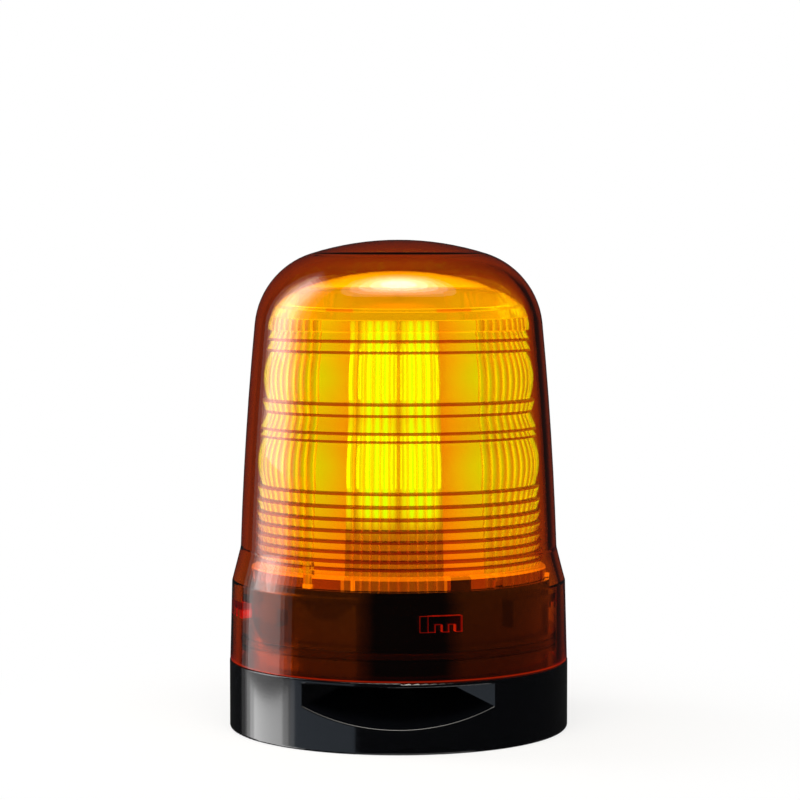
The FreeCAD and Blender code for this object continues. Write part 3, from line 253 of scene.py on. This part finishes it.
def lit_resin(name, base, glow, strength):
    """Silicone dome of a lamp that is switched on: its face gives off light, its flanks hardly any."""
    made, tree = new_material(name)
    found = add(tree, "ShaderNodeTexCoord")
    cloud = add(tree, "ShaderNodeTexNoise", {
        "Vector": found.outputs["Object"], "Scale": 1 / (1.5 * MM), "Detail": 1.0})
    tone = add(tree, "ShaderNodeMapRange", {"Value": cloud.outputs["Fac"], "To Min": 0.2, "To Max": 0.3})
    where = add(tree, "ShaderNodeVectorMath", {0: found.outputs["Object"]}, operation="ABSOLUTE")
    where = add(tree, "ShaderNodeSeparateXYZ", {0: where.outputs[0]})
    lean = add(tree, "ShaderNodeVectorMath", {0: found.outputs["Normal"]}, operation="ABSOLUTE")
    lean = add(tree, "ShaderNodeSeparateXYZ", {0: lean.outputs[0]})
    beside = add(tree, "ShaderNodeMath", {
        0: where.outputs["X"], 1: where.outputs["Y"]}, operation="GREATER_THAN")
    facing = add(tree, "ShaderNodeMix", {0: beside.outputs[0], 2: lean.outputs["Y"], 3: lean.outputs["X"]})
    share = add(tree, "ShaderNodeMapRange", {"Value": facing.outputs[0], "From Min": 0.86, "From Max": 0.97})
    face = add(tree, "ShaderNodeMix", {
        "Factor": share.outputs["Result"], "A": (0.004, 0.0035, 0, 1), "B": colour(glow)}, data_type="RGBA")
    skin = add(tree, "ShaderNodeBsdfPrincipled", {
        "Base Color": colour(base), "Roughness": tone.outputs["Result"], "IOR": 1.41,
        "Emission Color": face.outputs["Result"], "Emission Strength": strength})
    finish_material(tree, skin.outputs["BSDF"])
    return made


# Colour and density of the dye in the lens
lens_dye = ("#faef00", 150.0)

finishes = {
    # Polycarbonate from a polished mould: a clear deep amber, redder along its edges, with sharp highlights,
    # and a painted red glow on the ends of the lock lugs
    "amber_globe": clear_amber(
        "amber_polycarbonate_polished", "#f9e400", 2300.0, 0.015, lets_lamps_through=True),
    # The same resin, paler and cut into prisms: bright between its steps, hardly any colour where thin
    "amber_lens": clear_amber("amber_polycarbonate_prisms", *lens_dye, 0.03),
    # ABS from a polished mould: deep bluish black that mirrors the lamps, with a faint unevenness of 0.9 mm
    "black_housing": moulded("black_abs_polished", "#06070a", 0.09, 0.9, 0.003, ior=1.54, shade=0.15),
    # Moulded rubber: soft black with a dull, broad gloss
    "seal_rubber": moulded("black_rubber_moulded", "#141414", 0.5, 0.4, 0.02, ior=1.52),
    # ABS from a spark-eroded mould: dark grey, an even matt grain that kills reflections
    "black_cover": moulded("black_abs_spark_eroded", "#151518", 0.45, 0.5, 0.05, ior=1.54),
    # Cut rubber sheet: the greyest and dullest black, slightly cloudy
    "gasket_rubber": moulded("dark_rubber_cut_sheet", "#202020", 0.75, 0.6, 0.05, ior=1.52, shade=0.12),
    # Turned brass: warm yellow with fine rings of turning, here upright streaks, that stretch its highlights
    "insert_brass": metal("brass_turned", "#c79a45", 0.28, 0.15, (1, 1, 6)),
    # Zinc-plated steel: cool and bright, slightly milky
    "screw_steel": metal("steel_zinc_plated", "#c3c7cc", 0.26, 0.12),
    # Green solder mask: glossy dark green, paler over the tracks, with bright tinned dots
    "green_board": circuit_board("green_solder_mask", "#0c4a26", "#1d6b3a", "#c9c7bd"),
    # Shrunk polyester sleeve: taut and black, with a clean gloss and hardly any grain
    "capacitor_sleeve": moulded("black_sleeve_shrunk", "#17181b", 0.22, 1.2, 0.01, ior=1.57),
    # Sintered ferrite: dull dark grey, rough as fine stone
    "inductor_core": moulded("ferrite_sintered", "#2b2b2d", 0.65, 0.3, 0.05, shade=0.15),
    # Epoxy moulding compound: flat black with a dusty grain
    "chip_resin": moulded("black_epoxy_moulded", "#161617", 0.55, 0.3, 0.03, ior=1.57),
    # Nylon moulding: satin black, softer in its gloss than ABS
    "terminal_plastic": moulded("black_nylon_moulded", "#1a1a1c", 0.42, 0.5, 0.02, ior=1.53),
    # Tinned brass strip: pale warm silver with marks along the rolling direction
    "terminal_metal": metal("brass_tinned_strip", "#cfc8b4", 0.3, 0.15, (1, 8, 1)),
    # Nylon moulding: a strong red, satin
    "switch_plastic": moulded("red_nylon_moulded", "#9c1616", 0.36, 0.5, 0.02, ior=1.53),
    # Nylon moulding: clean white, satin, easy to see against the red
    "slider_plastic": moulded("white_nylon_moulded", "#ecebe6", 0.4, 0.4, 0.01, ior=1.53),
    # Nylon moulding: blue, satin
    "trimmer_plastic": moulded("blue_nylon_moulded", "#1d4f9e", 0.36, 0.5, 0.02, ior=1.53),
    # Natural nylon: a warm off-white that shows its slot
    "rotor_plastic": moulded("pale_nylon_moulded", "#e6e2d6", 0.42, 0.4, 0.01, ior=1.53),
    # ABS moulding: plain dark grey with a visible fine grain
    "buzzer_plastic": moulded("black_abs_moulded", "#1b1b1b", 0.5, 0.4, 0.03, ior=1.54),
    # Rolled brass sheet: yellow with long faint lines one way
    "disc_brass": metal("brass_rolled", "#cfa552", 0.3, 0.2, (10, 1, 1)),
    # Closed-cell foam: charcoal, fully dull, its cells drawn at 0.6 mm
    "foam_rubber": moulded("dark_foam_closed_cell", "#262626", 0.9, 0.6, 0.15, shade=0.15),
    # Zinc-plated sheet: cool silver with lines along the strip
    "strap_steel": metal("steel_sheet_zinc_plated", "#bfc2c6", 0.32, 0.2, (8, 1, 1)),
    # Natural nylon: creamy, a little waxy
    "header_plastic": moulded("natural_nylon_moulded", "#e9e3d2", 0.4, 0.5, 0.02, ior=1.53),
    # Extruded PVC: smooth red with a soft gloss
    "wire_sleeve": moulded("red_pvc_extruded", "#a01818", 0.32, 1.0, 0.01, ior=1.53),
    # White ABS: a satin white that throws the lamps' light back
    "white_plastic": moulded("white_abs_satin", "#efeee9", 0.4, 0.4, 0.02, ior=1.54),
    # White solder mask: clean white, with its tracks only just raised
    "white_board": circuit_board("white_solder_mask", "#f0efea", "#e4e3dc", "#d8d5c8"),
    # Yellow silicone over a lamp that is on: its face glows lime yellow, its flanks stay pale yellow
    "lamp_resin": lit_resin("yellow_silicone_lit", "#f6d84a", lamp_light, 10.0),
}

for subpart in frame["record"]["subparts"]:
    node = frame["nodes"][subpart["node"]]
    for slot in node.material_slots:
        slot.material = finishes[subpart["material_slot"]]

# Finishes of the inner lens, by their place in its list of materials
PRISMS, FLUTES, SIDE_FLUTES, WINDOWS, RING_STEPS, FOOT_SHADE, LIT_EDGE, DOME = range(8)
lens_finishes = [
    finishes["amber_lens"],
    # Half-round flutes in front of the lamps: bright upright lines of painted glow, with a darker line
    # in the glow after every five
    clear_amber("amber_polycarbonate_flutes", *lens_dye, 0.22, lit={
        "strength": 4.4, "tints": ("#4a2400", "#80b008"), "flutes": 100, "contrast": 0.48, "glow_gaps": 20,
        "levels": ((58, 0.02), (60.5, 0.08), (63.5, 0.5), (66.5, 1.0), (79, 1.0), (89.5, 1.0),
                   (92.5, 0.85), (96, 1.0), (104, 1.0), (116, 1.0), (119, 0.85), (121, 0.2))}),
    # Flutes between the lamps: the same painted glow lines, dimmer and more orange
    clear_amber("amber_polycarbonate_side_flutes", *lens_dye, 0.3, lit={
        "strength": 2.3, "tints": ("#846200",), "flutes": 80, "contrast": 0.75,
        "levels": ((44, 0.0), (60, 0.42), (79, 0.8), (91, 0.72), (104, 0.8), (117, 0.45), (122, 0.4))}),
    # Smooth windows beside the lamps: a soft painted golden glow that grows away from them
    clear_amber("amber_polycarbonate_windows", *lens_dye, 0.3, lit={
        "strength": 3.1, "tints": ("#946000",), "flutes": 4, "contrast": 1.3,
        "levels": ((48, 0.0), (60, 0.34), (79, 0.85), (91, 0.45), (104, 0.85), (115, 0.55), (124, 0.7))}),
    # Steps of the prism rings, left rough by the mould, with a painted brown shade in their tint: brown
    # lines round the lens
    clear_amber("amber_polycarbonate_ring_steps", *lens_dye, 0.3, tint="#8a2c06"),
    # Foot of the lens, with the black deck behind it: a brown band of painted shade, away from the lamps
    clear_amber("amber_polycarbonate_foot_shade", *lens_dye, 0.1, tint="#6a3418"),
    # Edges that the lamps' light leaves by, given a painted glow: thin yellow lines
    clear_amber("amber_polycarbonate_lit_edge", *lens_dye, 0.2, lit={
        "strength": 1.6, "tints": ("#c08a10",), "levels": ((glow_foot, 0.0), (glow_top, 0.0))}),
    # Dome over the lamps: an even painted golden glow, fading to the top
    clear_amber("amber_polycarbonate_dome", *lens_dye, 0.1, lit={
        "strength": 2.25, "tints": ("#a05a00",), "flutes": 4, "contrast": 0.2,
        "levels": ((115, 0.4), (124, 0.42), (138, 0.25))}),
]

# Inner lens: prism rings outside, frosted flutes inside, with sizes in mm

deck_level = 44.5
globe_wall, lens_gap, lens_wall = 2.4, 1.6, 3.4
side_foot_radius, side_foot_level, side_rise, side_taper, side_bow = 46.68, 53.1, 63.3, 4.05, 0.47
foot_height, foot_step = 4.0, 0.5
foot_top = deck_level + foot_height
ring_depth, ring_shrink = 1.4, 0.93
low_ring_height, low_ring_count = 3.77, 8
bulge_height, bulge_sag = 13.7, 1.6
mid_ring_heights, mid_land, mid_top_ring_height = (2.3, 3.3), 1.5, 4.1
top_ring_height, top_ring_count = 3.2, 2
dome_height, dome_shoulder, dome_wall = 18.5, 12.0, 2.6
corner_cut, sharp_below = 0.9, math.radians(160)

# Flutes in the bore, and a rib in the dome above them
flute_height, flute_rise, flute_inner_step = 0.55, 2.7, 0.9
rib_rise, rib_height, rib_depth, rib_root = 1.9, 0.8, 1.0, 0.2
# Flutes in front of each lamp board reach this many degrees either way, and further in the core sectors;
# there the flutes get the brighter painted glow and the foot has no painted shade
lamp_reach, core_start, core_angle = 18, -21.6, 39.6
# Sectors of half a turn of the bore: first azimuth, angle and count of flutes, with none in a smooth window
flute_sectors = (
    (core_start, core_angle, 11), (18, 18, 0), (36, 36, 8), (72, 36, 10), (108, 36, 8), (144, 14.4, 0))
# Points along an arc of the outside and of the bore, columns per flute, and bands up the bore
outside_steps, inside_steps, flute_steps, bore_bands = 10, 8, 6, 8
# A span of the outside is a step if its run is over this share of its rise, and a step's rounded corner if
# it is beside one and shorter than this length
step_share, corner_length = 0.75, 0.75
# How far above the foot a step is still a lit edge, and the allowance when levels are compared
lit_step_reach, hair = 0.2, 0.01

# Tabs on the lens, three of each, with heights above the deck
peg_azimuth, peg_width, peg_low, peg_high, peg_depth, peg_root = -35, 2.2, 1.5, 8.0, 1.0, 1.2
# Lit feet of the pegs and lit bars, which carry the painted glow of the lit edges
lit_low, lit_root = 0.3, 0.5
lit_foot_width, lit_foot_high = 2.6, 1.45
lit_bar_azimuth, lit_bar_width, lit_bar_high, lit_bar_depth = -16.8, 1.1, 3.2, 0.3
clip_azimuth, clip_width, clip_wall, clip_drop, clip_root = 25, 6.0, 1.8, 4.35, 2.5
hook_depth, hook_height, clip_inset = 0.9, 1.6, 0.02
notch_azimuth, notch_width, notch_low, notch_high = 40, 3.0, -1.0, 2.2


def side_radius(level, inset):
    """Radius of the globe's bowed side at a level, inset from its outer face."""
    chord = math.hypot(side_taper, side_rise)
    bend = chord ** 2 / (8 * side_bow) + side_bow / 2
    centre_r = side_foot_radius - side_taper / 2 + (side_bow - bend) * side_rise / chord
    centre_z = side_foot_level + side_rise / 2 + (side_bow - bend) * side_taper / chord
    return centre_r + math.sqrt((bend - inset) ** 2 - (level - centre_z) ** 2)


def lens_tip(level):
    """Radius at a level of the face that the tips of the rings touch."""
    return side_radius(level, globe_wall + lens_gap)


bore_foot = lens_tip(deck_level) - lens_wall


def arc_points(start, middle, end, count):
    """Points along the arc through three points, without its start."""
    (ax, az), (bx, bz), (cx, cz) = start, middle, end
    d = 2 * (ax * (bz - cz) + bx * (cz - az) + cx * (az - bz))
    sa, sb, sc = ax * ax + az * az, bx * bx + bz * bz, cx * cx + cz * cz
    ux = (sa * (bz - cz) + sb * (cz - az) + sc * (az - bz)) / d
    uz = (sa * (cx - bx) + sb * (ax - cx) + sc * (bx - ax)) / d
    radius = math.hypot(ax - ux, az - uz)
    first, last = math.atan2(az - uz, ax - ux), math.atan2(cz - uz, cx - ux)
    angles = [first + (last - first) * i / count for i in range(1, count + 1)]
    return [(ux + radius * math.cos(a), uz + radius * math.sin(a)) for a in angles]


def dome_points(radius, base, height, shoulder, count):
    """From an upright wall round a shoulder arc and over a crown arc, up to the axis."""
    turn = radius - shoulder
    crown = (turn ** 2 + height ** 2 - shoulder ** 2) / (2 * (height - shoulder))
    lean = math.atan2(turn, crown - height)
    points = []
    for i in range(1, count + 1):
        angle = (math.pi / 2 - lean) * i / count
        points.append((turn + shoulder * math.cos(angle), base + shoulder * math.sin(angle)))
    for i in range(1, count + 1):
        angle = lean * (1 - i / count)
        points.append((crown * math.sin(angle), base + height - crown + crown * math.cos(angle)))
    return points


def softened(points):
    """A profile whose sharp corners are cut back by a moulding radius."""
    smooth = [points[0]]
    for before, corner, after in zip(points, points[1:], points[2:]):
        middle = Vector(corner)
        ways = [Vector(before) - middle, Vector(after) - middle]
        if ways[0].angle(ways[1]) > sharp_below:
            smooth.append(corner)
            continue
        near, far = (middle + way.normalized() * min(corner_cut, way.length / 3) for way in ways)
        for t in (0.0, 0.5, 1.0):
            p = near * (1 - t) ** 2 + middle * 2 * t * (1 - t) + far * t ** 2
            smooth.append((p.x, p.y))
    return smooth + [points[-1]]


def ring(level, height, low_inset, high_inset):
    """Two ends of a prism ring's face, each inset from the tips."""
    top = level + height
    return [(lens_tip(level) - low_inset, level), (lens_tip(top) - high_inset, top)]


def bulge(level):
    """A band that bows out to the tips, in front of a row of lamps."""
    top, middle = level + bulge_height, level + bulge_height / 2
    start, end = (lens_tip(level) - bulge_sag, level), (lens_tip(top) - bulge_sag, top)
    return [start] + arc_points(start, (lens_tip(middle), middle), end, outside_steps)


def lens_outside():
    """Profile of the prism rings, from the foot up to the axis, and the level where the dome begins."""
    level = foot_top
    foot = lens_tip(level) + foot_step
    points = [(foot, deck_level), (foot, level)]
    for i in reversed(range(low_ring_count)):
        height = low_ring_height * ring_shrink ** i
        points += ring(level, height, ring_depth, 0)
        level += height
    points += bulge(level)
    level += bulge_height
    for height in mid_ring_heights:
        points += ring(level, height, 0, ring_depth)
        level += height
    level += mid_land
    points.append((lens_tip(level) - ring_depth - foot_step, level))
    points += ring(level, mid_top_ring_height, ring_depth, 0)
    level += mid_top_ring_height
    points += bulge(level)
    level += bulge_height
    for i in range(top_ring_count):
        height = top_ring_height * ring_shrink ** i
        points += ring(level, height, 0, ring_depth)
        level += height
    points.append((lens_tip(level), level))
    points += dome_points(lens_tip(level), level, dome_height, dome_shoulder, outside_steps)
    return softened(points), level


def ring_steps(outside, dome_level):
    """For each band from the top down the outside and under the foot, whether it is a step between rings."""
    spans = [(b[0] - a[0], b[1] - a[1]) for a, b in zip(outside, outside[1:])]
    flat = [abs(r) > step_share * abs(z) for r, z in spans]
    steps = []
    for i in range(len(spans) - 1):
        rounds_step = math.hypot(*spans[i]) < corner_length and (
            flat[i + 1] and spans[i + 1][0] < 0 or flat[i - 1] and spans[i - 1][0] > 0)
        steps.append(outside[i + 1][1] < dome_level and (flat[i] or rounds_step))
    return [False] + steps[::-1] + [False]


def before_lamps(azimuth):
    """Whether a column at this azimuth is in front of a lamp board."""
    in_core = (azimuth - core_start) % 180 < core_angle
    return in_core or (azimuth + lamp_reach) % 90 < 2 * lamp_reach


def flute_columns():
    """Columns round the bore: azimuth, how far a flute stands in there, from 0 to 1, and finish."""
    columns = []
    for half in (0, 180):
        for start, angle, count in flute_sectors:
            steps = (count or 1) * flute_steps
            for i in range(steps):
                azimuth, share = half + start + i * angle / steps, (i % flute_steps) / flute_steps
                stand = 1 - (2 * share - 1) ** 2
                finish = FLUTES if before_lamps(azimuth) else SIDE_FLUTES
                columns.append((azimuth, stand, finish) if count else (azimuth, 0.0, WINDOWS))
    return columns


def dome_inside(dome_level, flute_top):
    """Profile of the bore above the flutes, with its rib, up to the axis."""
    radius = lens_tip(flute_top) - lens_wall - flute_height - flute_inner_step
    height = dome_level + dome_height - dome_wall - flute_top
    points = dome_points(radius, flute_top, height, dome_shoulder - dome_wall, inside_steps)
    low, high = flute_top + rib_rise, flute_top + rib_rise + rib_height
    profile = [(radius, flute_top)] + [p for p in points[:-1] if p[1] < low - rib_root]
    profile += [(radius - rib_root, low), (radius - rib_depth, low)]
    profile += [(radius - rib_depth, high), (radius - 2 * rib_root, high)]
    return profile + [p for p in points[:-1] if p[1] > high + rib_root] + points[-1:]


def lens_mesh(outside, dome_level):
    """The lens without its tabs: rows of points from the top down its outside and up its bore, with a band
    of faces between each row and the next."""
    flute_top = dome_level + flute_rise
    bore_top = lens_tip(flute_top) - lens_wall
    inside = dome_inside(dome_level, flute_top)
    rib_low, rib_high = flute_top + rib_rise, flute_top + rib_rise + rib_height
    columns = flute_columns()
    made = bmesh.new()

    def row(radius, level, inward=0.0):
        """Points round the lens at a level, moved in where a flute stands."""
        points = []
        for azimuth, stand, _ in columns:
            a, reach = math.radians(azimuth), MM * (radius - inward * stand)
            points.append(made.verts.new((reach * math.sin(a), -reach * math.cos(a), MM * level)))
        return points

    rows = [[made.verts.new((0, 0, MM * outside[-1][1]))]]
    rows += [row(r, z) for r, z in reversed(outside[:-1])]
    first_bore = len(rows)
    for i in range(bore_bands + 1):
        share = i / bore_bands
        bore = bore_foot + (bore_top - bore_foot) * share
        rows.append(row(bore, deck_level + (flute_top - deck_level) * share, flute_height))
    rows += [row(r, z) for r, z in inside[:-1]]
    rows.append([made.verts.new((0, 0, MM * inside[-1][1]))])

    steps = ring_steps(outside, dome_level)
    for band, (one, two) in enumerate(zip(rows, rows[1:])):
        end, middle = two[0].co.z, (one[0].co.z + two[0].co.z) / 2 / MM
        on_rib = rib_low - hair < middle < rib_high - hair
        for i, (azimuth, _, finish) in enumerate(columns):
            j = (i + 1) % len(columns)
            corners = [one[i % len(one)], one[j % len(one)], two[j % len(two)], two[i % len(two)]]
            face = made.faces.new(list(dict.fromkeys(corners)))
            face.smooth = True
            if band >= first_bore + bore_bands:
                # The rib in the windows gets the lit edges' painted glow, the rest the dome's painted glow
                face.material_index = LIT_EDGE if on_rib and finish == WINDOWS else DOME
            elif band >= first_bore:
                face.material_index = finish
            elif steps[band]:
                # Steps get the painted brown shade, or the lit edges' painted glow just above the foot
                face.material_index = LIT_EDGE if end < MM * (foot_top + lit_step_reach) else RING_STEPS
            elif end < MM * foot_top and not before_lamps(azimuth):
                # Foot faces away from the lamps get the painted shade
                face.material_index = FOOT_SHADE
    bmesh.ops.recalc_face_normals(made, faces=made.faces)
    mesh = mesh_from("inner_lens_prisms", made)
    mesh.set_sharp_from_angle(angle=math.radians(30))
    for finish in lens_finishes:
        mesh.materials.append(finish)
    return mesh


def upright(inner, outer, low, high):
    """Outline of an upright rectangle between two radii."""
    return (outer, low), (outer, high), (inner, high), (inner, low)


def block(made, azimuth, width, finish, outline):
    """Adds an outline of radii and heights above the deck, thickened to a width, at an azimuth."""
    a = math.radians(azimuth)
    sides = [[made.verts.new((
        MM * (r * math.sin(a) + side * math.cos(a)),
        MM * (side * math.sin(a) - r * math.cos(a)),
        MM * (deck_level + z))) for r, z in outline] for side in (-width / 2, width / 2)]
    faces = [made.faces.new(sides[0]), made.faces.new(sides[1][::-1])]
    for i in range(len(outline)):
        j = (i + 1) % len(outline)
        faces.append(made.faces.new((sides[0][j], sides[0][i], sides[1][i], sides[1][j])))
    bmesh.ops.recalc_face_normals(made, faces=faces)
    for face in faces:
        face.material_index = finish


def carve(piece, tools, way):
    """Joins or cuts the tools' solids into a piece for good."""
    cutter = placed("cutter", mesh_from("cutter", tools))
    change = piece.modifiers.new("carve", "BOOLEAN")
    change.operation, change.object, change.solver = way, cutter, "EXACT"
    carved = bpy.data.meshes.new_from_object(piece.evaluated_get(bpy.context.evaluated_depsgraph_get()))
    piece.modifiers.clear()
    bpy.data.objects.remove(cutter)
    before, piece.data = piece.data, carved
    carved.name = piece.name
    bpy.data.meshes.remove(before)


def inner_lens():
    """The lens with its pegs, lit bars and clips, and the notches in its foot. The lit bars and the pegs'
    feet have a painted glow.
    """
    outside, dome_level = lens_outside()
    piece = placed("inner_lens_prisms", lens_mesh(outside, dome_level))
    foot, hold = outside[0][0], bore_foot - flute_height
    peg = upright(foot - peg_root, foot + peg_depth, peg_low, peg_high)
    lit_foot = upright(foot - lit_root, foot + peg_depth, lit_low, lit_foot_high)
    lit_bar = upright(foot - lit_root, foot + lit_bar_depth, lit_low, lit_bar_high)
    clip_top, hook_top = foot_height - clip_inset, hook_height - clip_drop
    clip = (
        (hold + clip_root, clip_inset), (hold + clip_root, clip_top), (hold - clip_wall, clip_top),
        (hold - clip_wall, -clip_drop), (hold + hook_depth, -clip_drop), (hold + hook_depth, hook_top),
        (hold, hook_top), (hold, clip_inset))
    notch = upright(foot - lens_wall, foot + lens_wall, notch_low, notch_high)
    tabs, notches = bmesh.new(), bmesh.new()
    for turn in (0, 120, 240):
        block(tabs, turn + peg_azimuth, peg_width, PRISMS, peg)
        block(tabs, turn + peg_azimuth, lit_foot_width, LIT_EDGE, lit_foot)
        block(tabs, turn + lit_bar_azimuth, lit_bar_width, LIT_EDGE, lit_bar)
        block(tabs, turn + clip_azimuth, clip_width, PRISMS, clip)
        # Notches, cut with the foot's painted shade
        block(notches, turn + notch_azimuth, notch_width, FOOT_SHADE, notch)
    carve(piece, tabs, "UNION")
    carve(piece, notches, "DIFFERENCE")
    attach(piece, "base")
    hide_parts("inner_lens")


inner_lens()

# Stage: pale floor, soft lamps and the photograph's camera, with sizes in metres

floor_hole, floor_reach, floor_drop, floor_sides = 46 * MM, 0.6, 0.02 * MM, 96
tent_radius, tent_turn = 3.0, math.radians(8)
# Whiteness of the tent by how many degrees round from its turn, either way
tent_panels = ((25, 0.02), (40, 0.6), (122, 0.6), (130, 0.02), (144, 0.02), (156, 0.6))
# The photograph's camera: focal length and picture width in pixels, place in mm and tilt in degrees
focal_pixels, picture_pixels, sensor_mm = 2440, 800, 36.0
camera_place, camera_tilt = (0.41, -720, 131.2), 2.78

# Nested lamps: width, height and radiance of each
left_strips = (
    (0.12, 0.5, 1.2), (0.24, 0.65, 1.5), (0.31, 0.8, 0.8),
    (0.40, 0.95, 0.9), (0.50, 1.1, 0.4), (0.68, 1.25, 0.2))
left_low_strips = ((0.30, 0.5, 2.2), (0.42, 0.5, 1.8), (0.54, 0.5, 0.9))
overheads = ((0.30, 0.17, 5.0), (0.50, 0.27, 3.4), (0.75, 0.37, 2.2), (1.0, 0.47, 1.2), (1.3, 0.57, 0.6))
nest_gap = 0.01


def softbox(name, place, target, size, radiance, tint="#ffffff", shape="RECTANGLE"):
    """A soft lamp at a place, turned to a target, of an even brightness."""
    width, height = size
    lamp = bpy.data.lights.new(name, "AREA")
    lamp.shape = shape
    lamp.size, lamp.size_y = width, height
    lamp.energy = radiance * math.pi * width * height
    lamp.color = colour(tint)[:3]
    thing = placed(name, lamp)
    thing.location = place
    thing.rotation_euler = (Vector(target) - thing.location).to_track_quat("-Z", "Y").to_euler()


def around(azimuth, distance, level):
    """A place at an azimuth from the front, positive to the right."""
    a = math.radians(azimuth)
    return distance * math.sin(a), -distance * math.cos(a), level


def nest(name, azimuth, distance, level, target_level, boxes, rise=0.0, **looks):
    """Soft lamps, each a little behind the smaller one, so that the edges of their reflections are soft."""
    for i, (width, height, radiance) in enumerate(boxes):
        place = around(azimuth, distance + nest_gap * i, level + rise * i)
        softbox(name, place, (0, 0, target_level), (width, height), radiance, **looks)


def seen_clearly(tree):
    """1 for what is seen straight, in a reflection or through a clear wall, and 0 for scattered light."""
    ray = add(tree, "ShaderNodeLightPath")
    seen = 0.0
    for path in ("Is Camera Ray", "Is Glossy Ray", "Is Transmission Ray"):
        seen = add(tree, "ShaderNodeMath", {0: seen, 1: ray.outputs[path]}, operation="MAXIMUM").outputs[0]
    return seen


def paper_floor():
    """A floor round the foot, with a hole under the part."""
    # Smooth white paper: an even white that keeps a soft shadow round the foot, and open from below
    paper, tree = new_material("white_paper_floor")
    place = add(tree, "ShaderNodeTexCoord").outputs["Object"]
    away = add(tree, "ShaderNodeVectorMath", {0: place}, operation="LENGTH")
    near = add(tree, "ShaderNodeMapRange", {
        "Value": away.outputs["Value"], "From Min": 0.05, "From Max": 0.16,
        "To Min": 0.75, "To Max": 1.0}, interpolation_type="SMOOTHSTEP")
    part = add(tree, "ShaderNodeMath", {
        0: near.outputs["Result"], 1: seen_clearly(tree)}, operation="MULTIPLY")
    sheet = add(tree, "ShaderNodeBsdfDiffuse", {"Color": colour("#f4f4f2")})
    glow = add(tree, "ShaderNodeEmission", {"Color": colour("#ffffff"), "Strength": 1.0})
    blend = add(tree, "ShaderNodeMixShader", {
        0: part.outputs[0], 1: sheet.outputs["BSDF"], 2: glow.outputs["Emission"]})
    below = add(tree, "ShaderNodeNewGeometry").outputs["Backfacing"]
    passing = add(tree, "ShaderNodeBsdfTransparent")
    open_below = add(tree, "ShaderNodeMixShader", {
        0: below, 1: blend.outputs["Shader"], 2: passing.outputs["BSDF"]})
    finish_material(tree, open_below.outputs["Shader"])

    made = bmesh.new()
    angles = [math.tau * i / floor_sides for i in range(floor_sides)]
    inner, outer = ([made.verts.new((r * math.cos(a), r * math.sin(a), 0)) for a in angles]
                    for r in (floor_hole, floor_reach))
    for i in range(floor_sides):
        j = (i + 1) % floor_sides
        made.faces.new((inner[i], outer[i], outer[j], inner[j]))
    thing = placed("floor", mesh_from("floor", made))
    thing.data.materials.append(paper)
    thing.location.z = -floor_drop
    thing.visible_glossy = thing.visible_transmission = False
    return thing


def studio_tent():
    """A dark tent round the stage that only glossy and clear surfaces see."""
    # Black velvet with pale panels behind: dark reflections, and a dull light through the clear edges
    cloth, tree = new_material("black_velvet_tent")
    ray = add(tree, "ShaderNodeLightPath")
    apart = add(tree, "ShaderNodeSeparateXYZ", {0: add(tree, "ShaderNodeTexCoord").outputs["Object"]})
    front = add(tree, "ShaderNodeMath", {0: apart.outputs["Y"], 1: -1.0}, operation="MULTIPLY")
    turn = add(tree, "ShaderNodeMath", {0: apart.outputs["X"], 1: front.outputs[0]}, operation="ARCTAN2")
    aside = add(tree, "ShaderNodeMath", {0: turn.outputs[0], 1: tent_turn}, operation="SUBTRACT")
    aside = add(tree, "ShaderNodeMath", {0: aside.outputs[0]}, operation="ABSOLUTE")
    share = add(tree, "ShaderNodeMath", {0: aside.outputs[0], 1: math.pi}, operation="DIVIDE")
    panels = add(tree, "ShaderNodeValToRGB", {"Fac": share.outputs[0]}, stops=[
        (azimuth / 180, (white, white, white, 1)) for azimuth, white in tent_panels])
    seen = add(tree, "ShaderNodeMix", {
        0: ray.outputs["Is Transmission Ray"], 2: 0.02, 3: panels.outputs["Color"]})
    sheen = add(tree, "ShaderNodeEmission", {"Color": colour("#ffffff"), "Strength": seen.outputs[0]})
    finish_material(tree, sheen.outputs["Emission"])

    made = bmesh.new()
    bmesh.ops.create_uvsphere(made, u_segments=48, v_segments=24, radius=tent_radius)
    thing = placed("tent", mesh_from("tent", made))
    thing.data.materials.append(cloth)
    thing.visible_camera = thing.visible_diffuse = thing.visible_shadow = False
    return thing


nest("left_strip", -102, 0.60, 0.4, 0.4, left_strips)
nest("left_low_strip", -96, 0.57, -0.33, -0.33, left_low_strips)
softbox("under_fill", (0.15, -0.35, -0.8), (0, 0, 0), (0.9, 0.9), 1.0)
softbox("left_fill", around(-52, 0.75, -0.33), (0, 0, 0.02), (0.73, 0.5), 0.6, "#dcecff")
nest("overhead", 0, 0.30, 0.85, 0.13, overheads, rise=0.02, tint="#fffaf0", shape="ELLIPSE")

floor = paper_floor()
tent = studio_tent()

# White all round for what is seen, and a quarter of it for scattered light
world = bpy.data.worlds.new("studio")
world.use_nodes = True
tree = world.node_tree
tree.nodes.clear()
level = add(tree, "ShaderNodeMapRange", {"Value": seen_clearly(tree), "To Min": 0.25, "To Max": 1.0})
back = add(tree, "ShaderNodeBackground", {"Color": colour("#ffffff"), "Strength": level.outputs["Result"]})
add(tree, "ShaderNodeOutputWorld", {"Surface": back.outputs["Background"]})

camera = placed("camera", bpy.data.cameras.new("camera"))
camera.data.sensor_width = sensor_mm
camera.data.lens = sensor_mm * focal_pixels / picture_pixels
camera.data.clip_start = 0.01
camera.data.clip_end = 50.0
camera.location = [MM * way for way in camera_place]
camera.rotation_euler = (math.radians(90 - camera_tilt), 0, 0)

scene = bpy.context.scene
scene.world = world
scene.camera = camera
scene.view_settings.view_transform = "Standard"
scene.cycles.max_bounces = 32
scene.cycles.transmission_bounces = 32
scene.cycles.transparent_max_bounces = 32
scene.cycles.glossy_bounces = 8
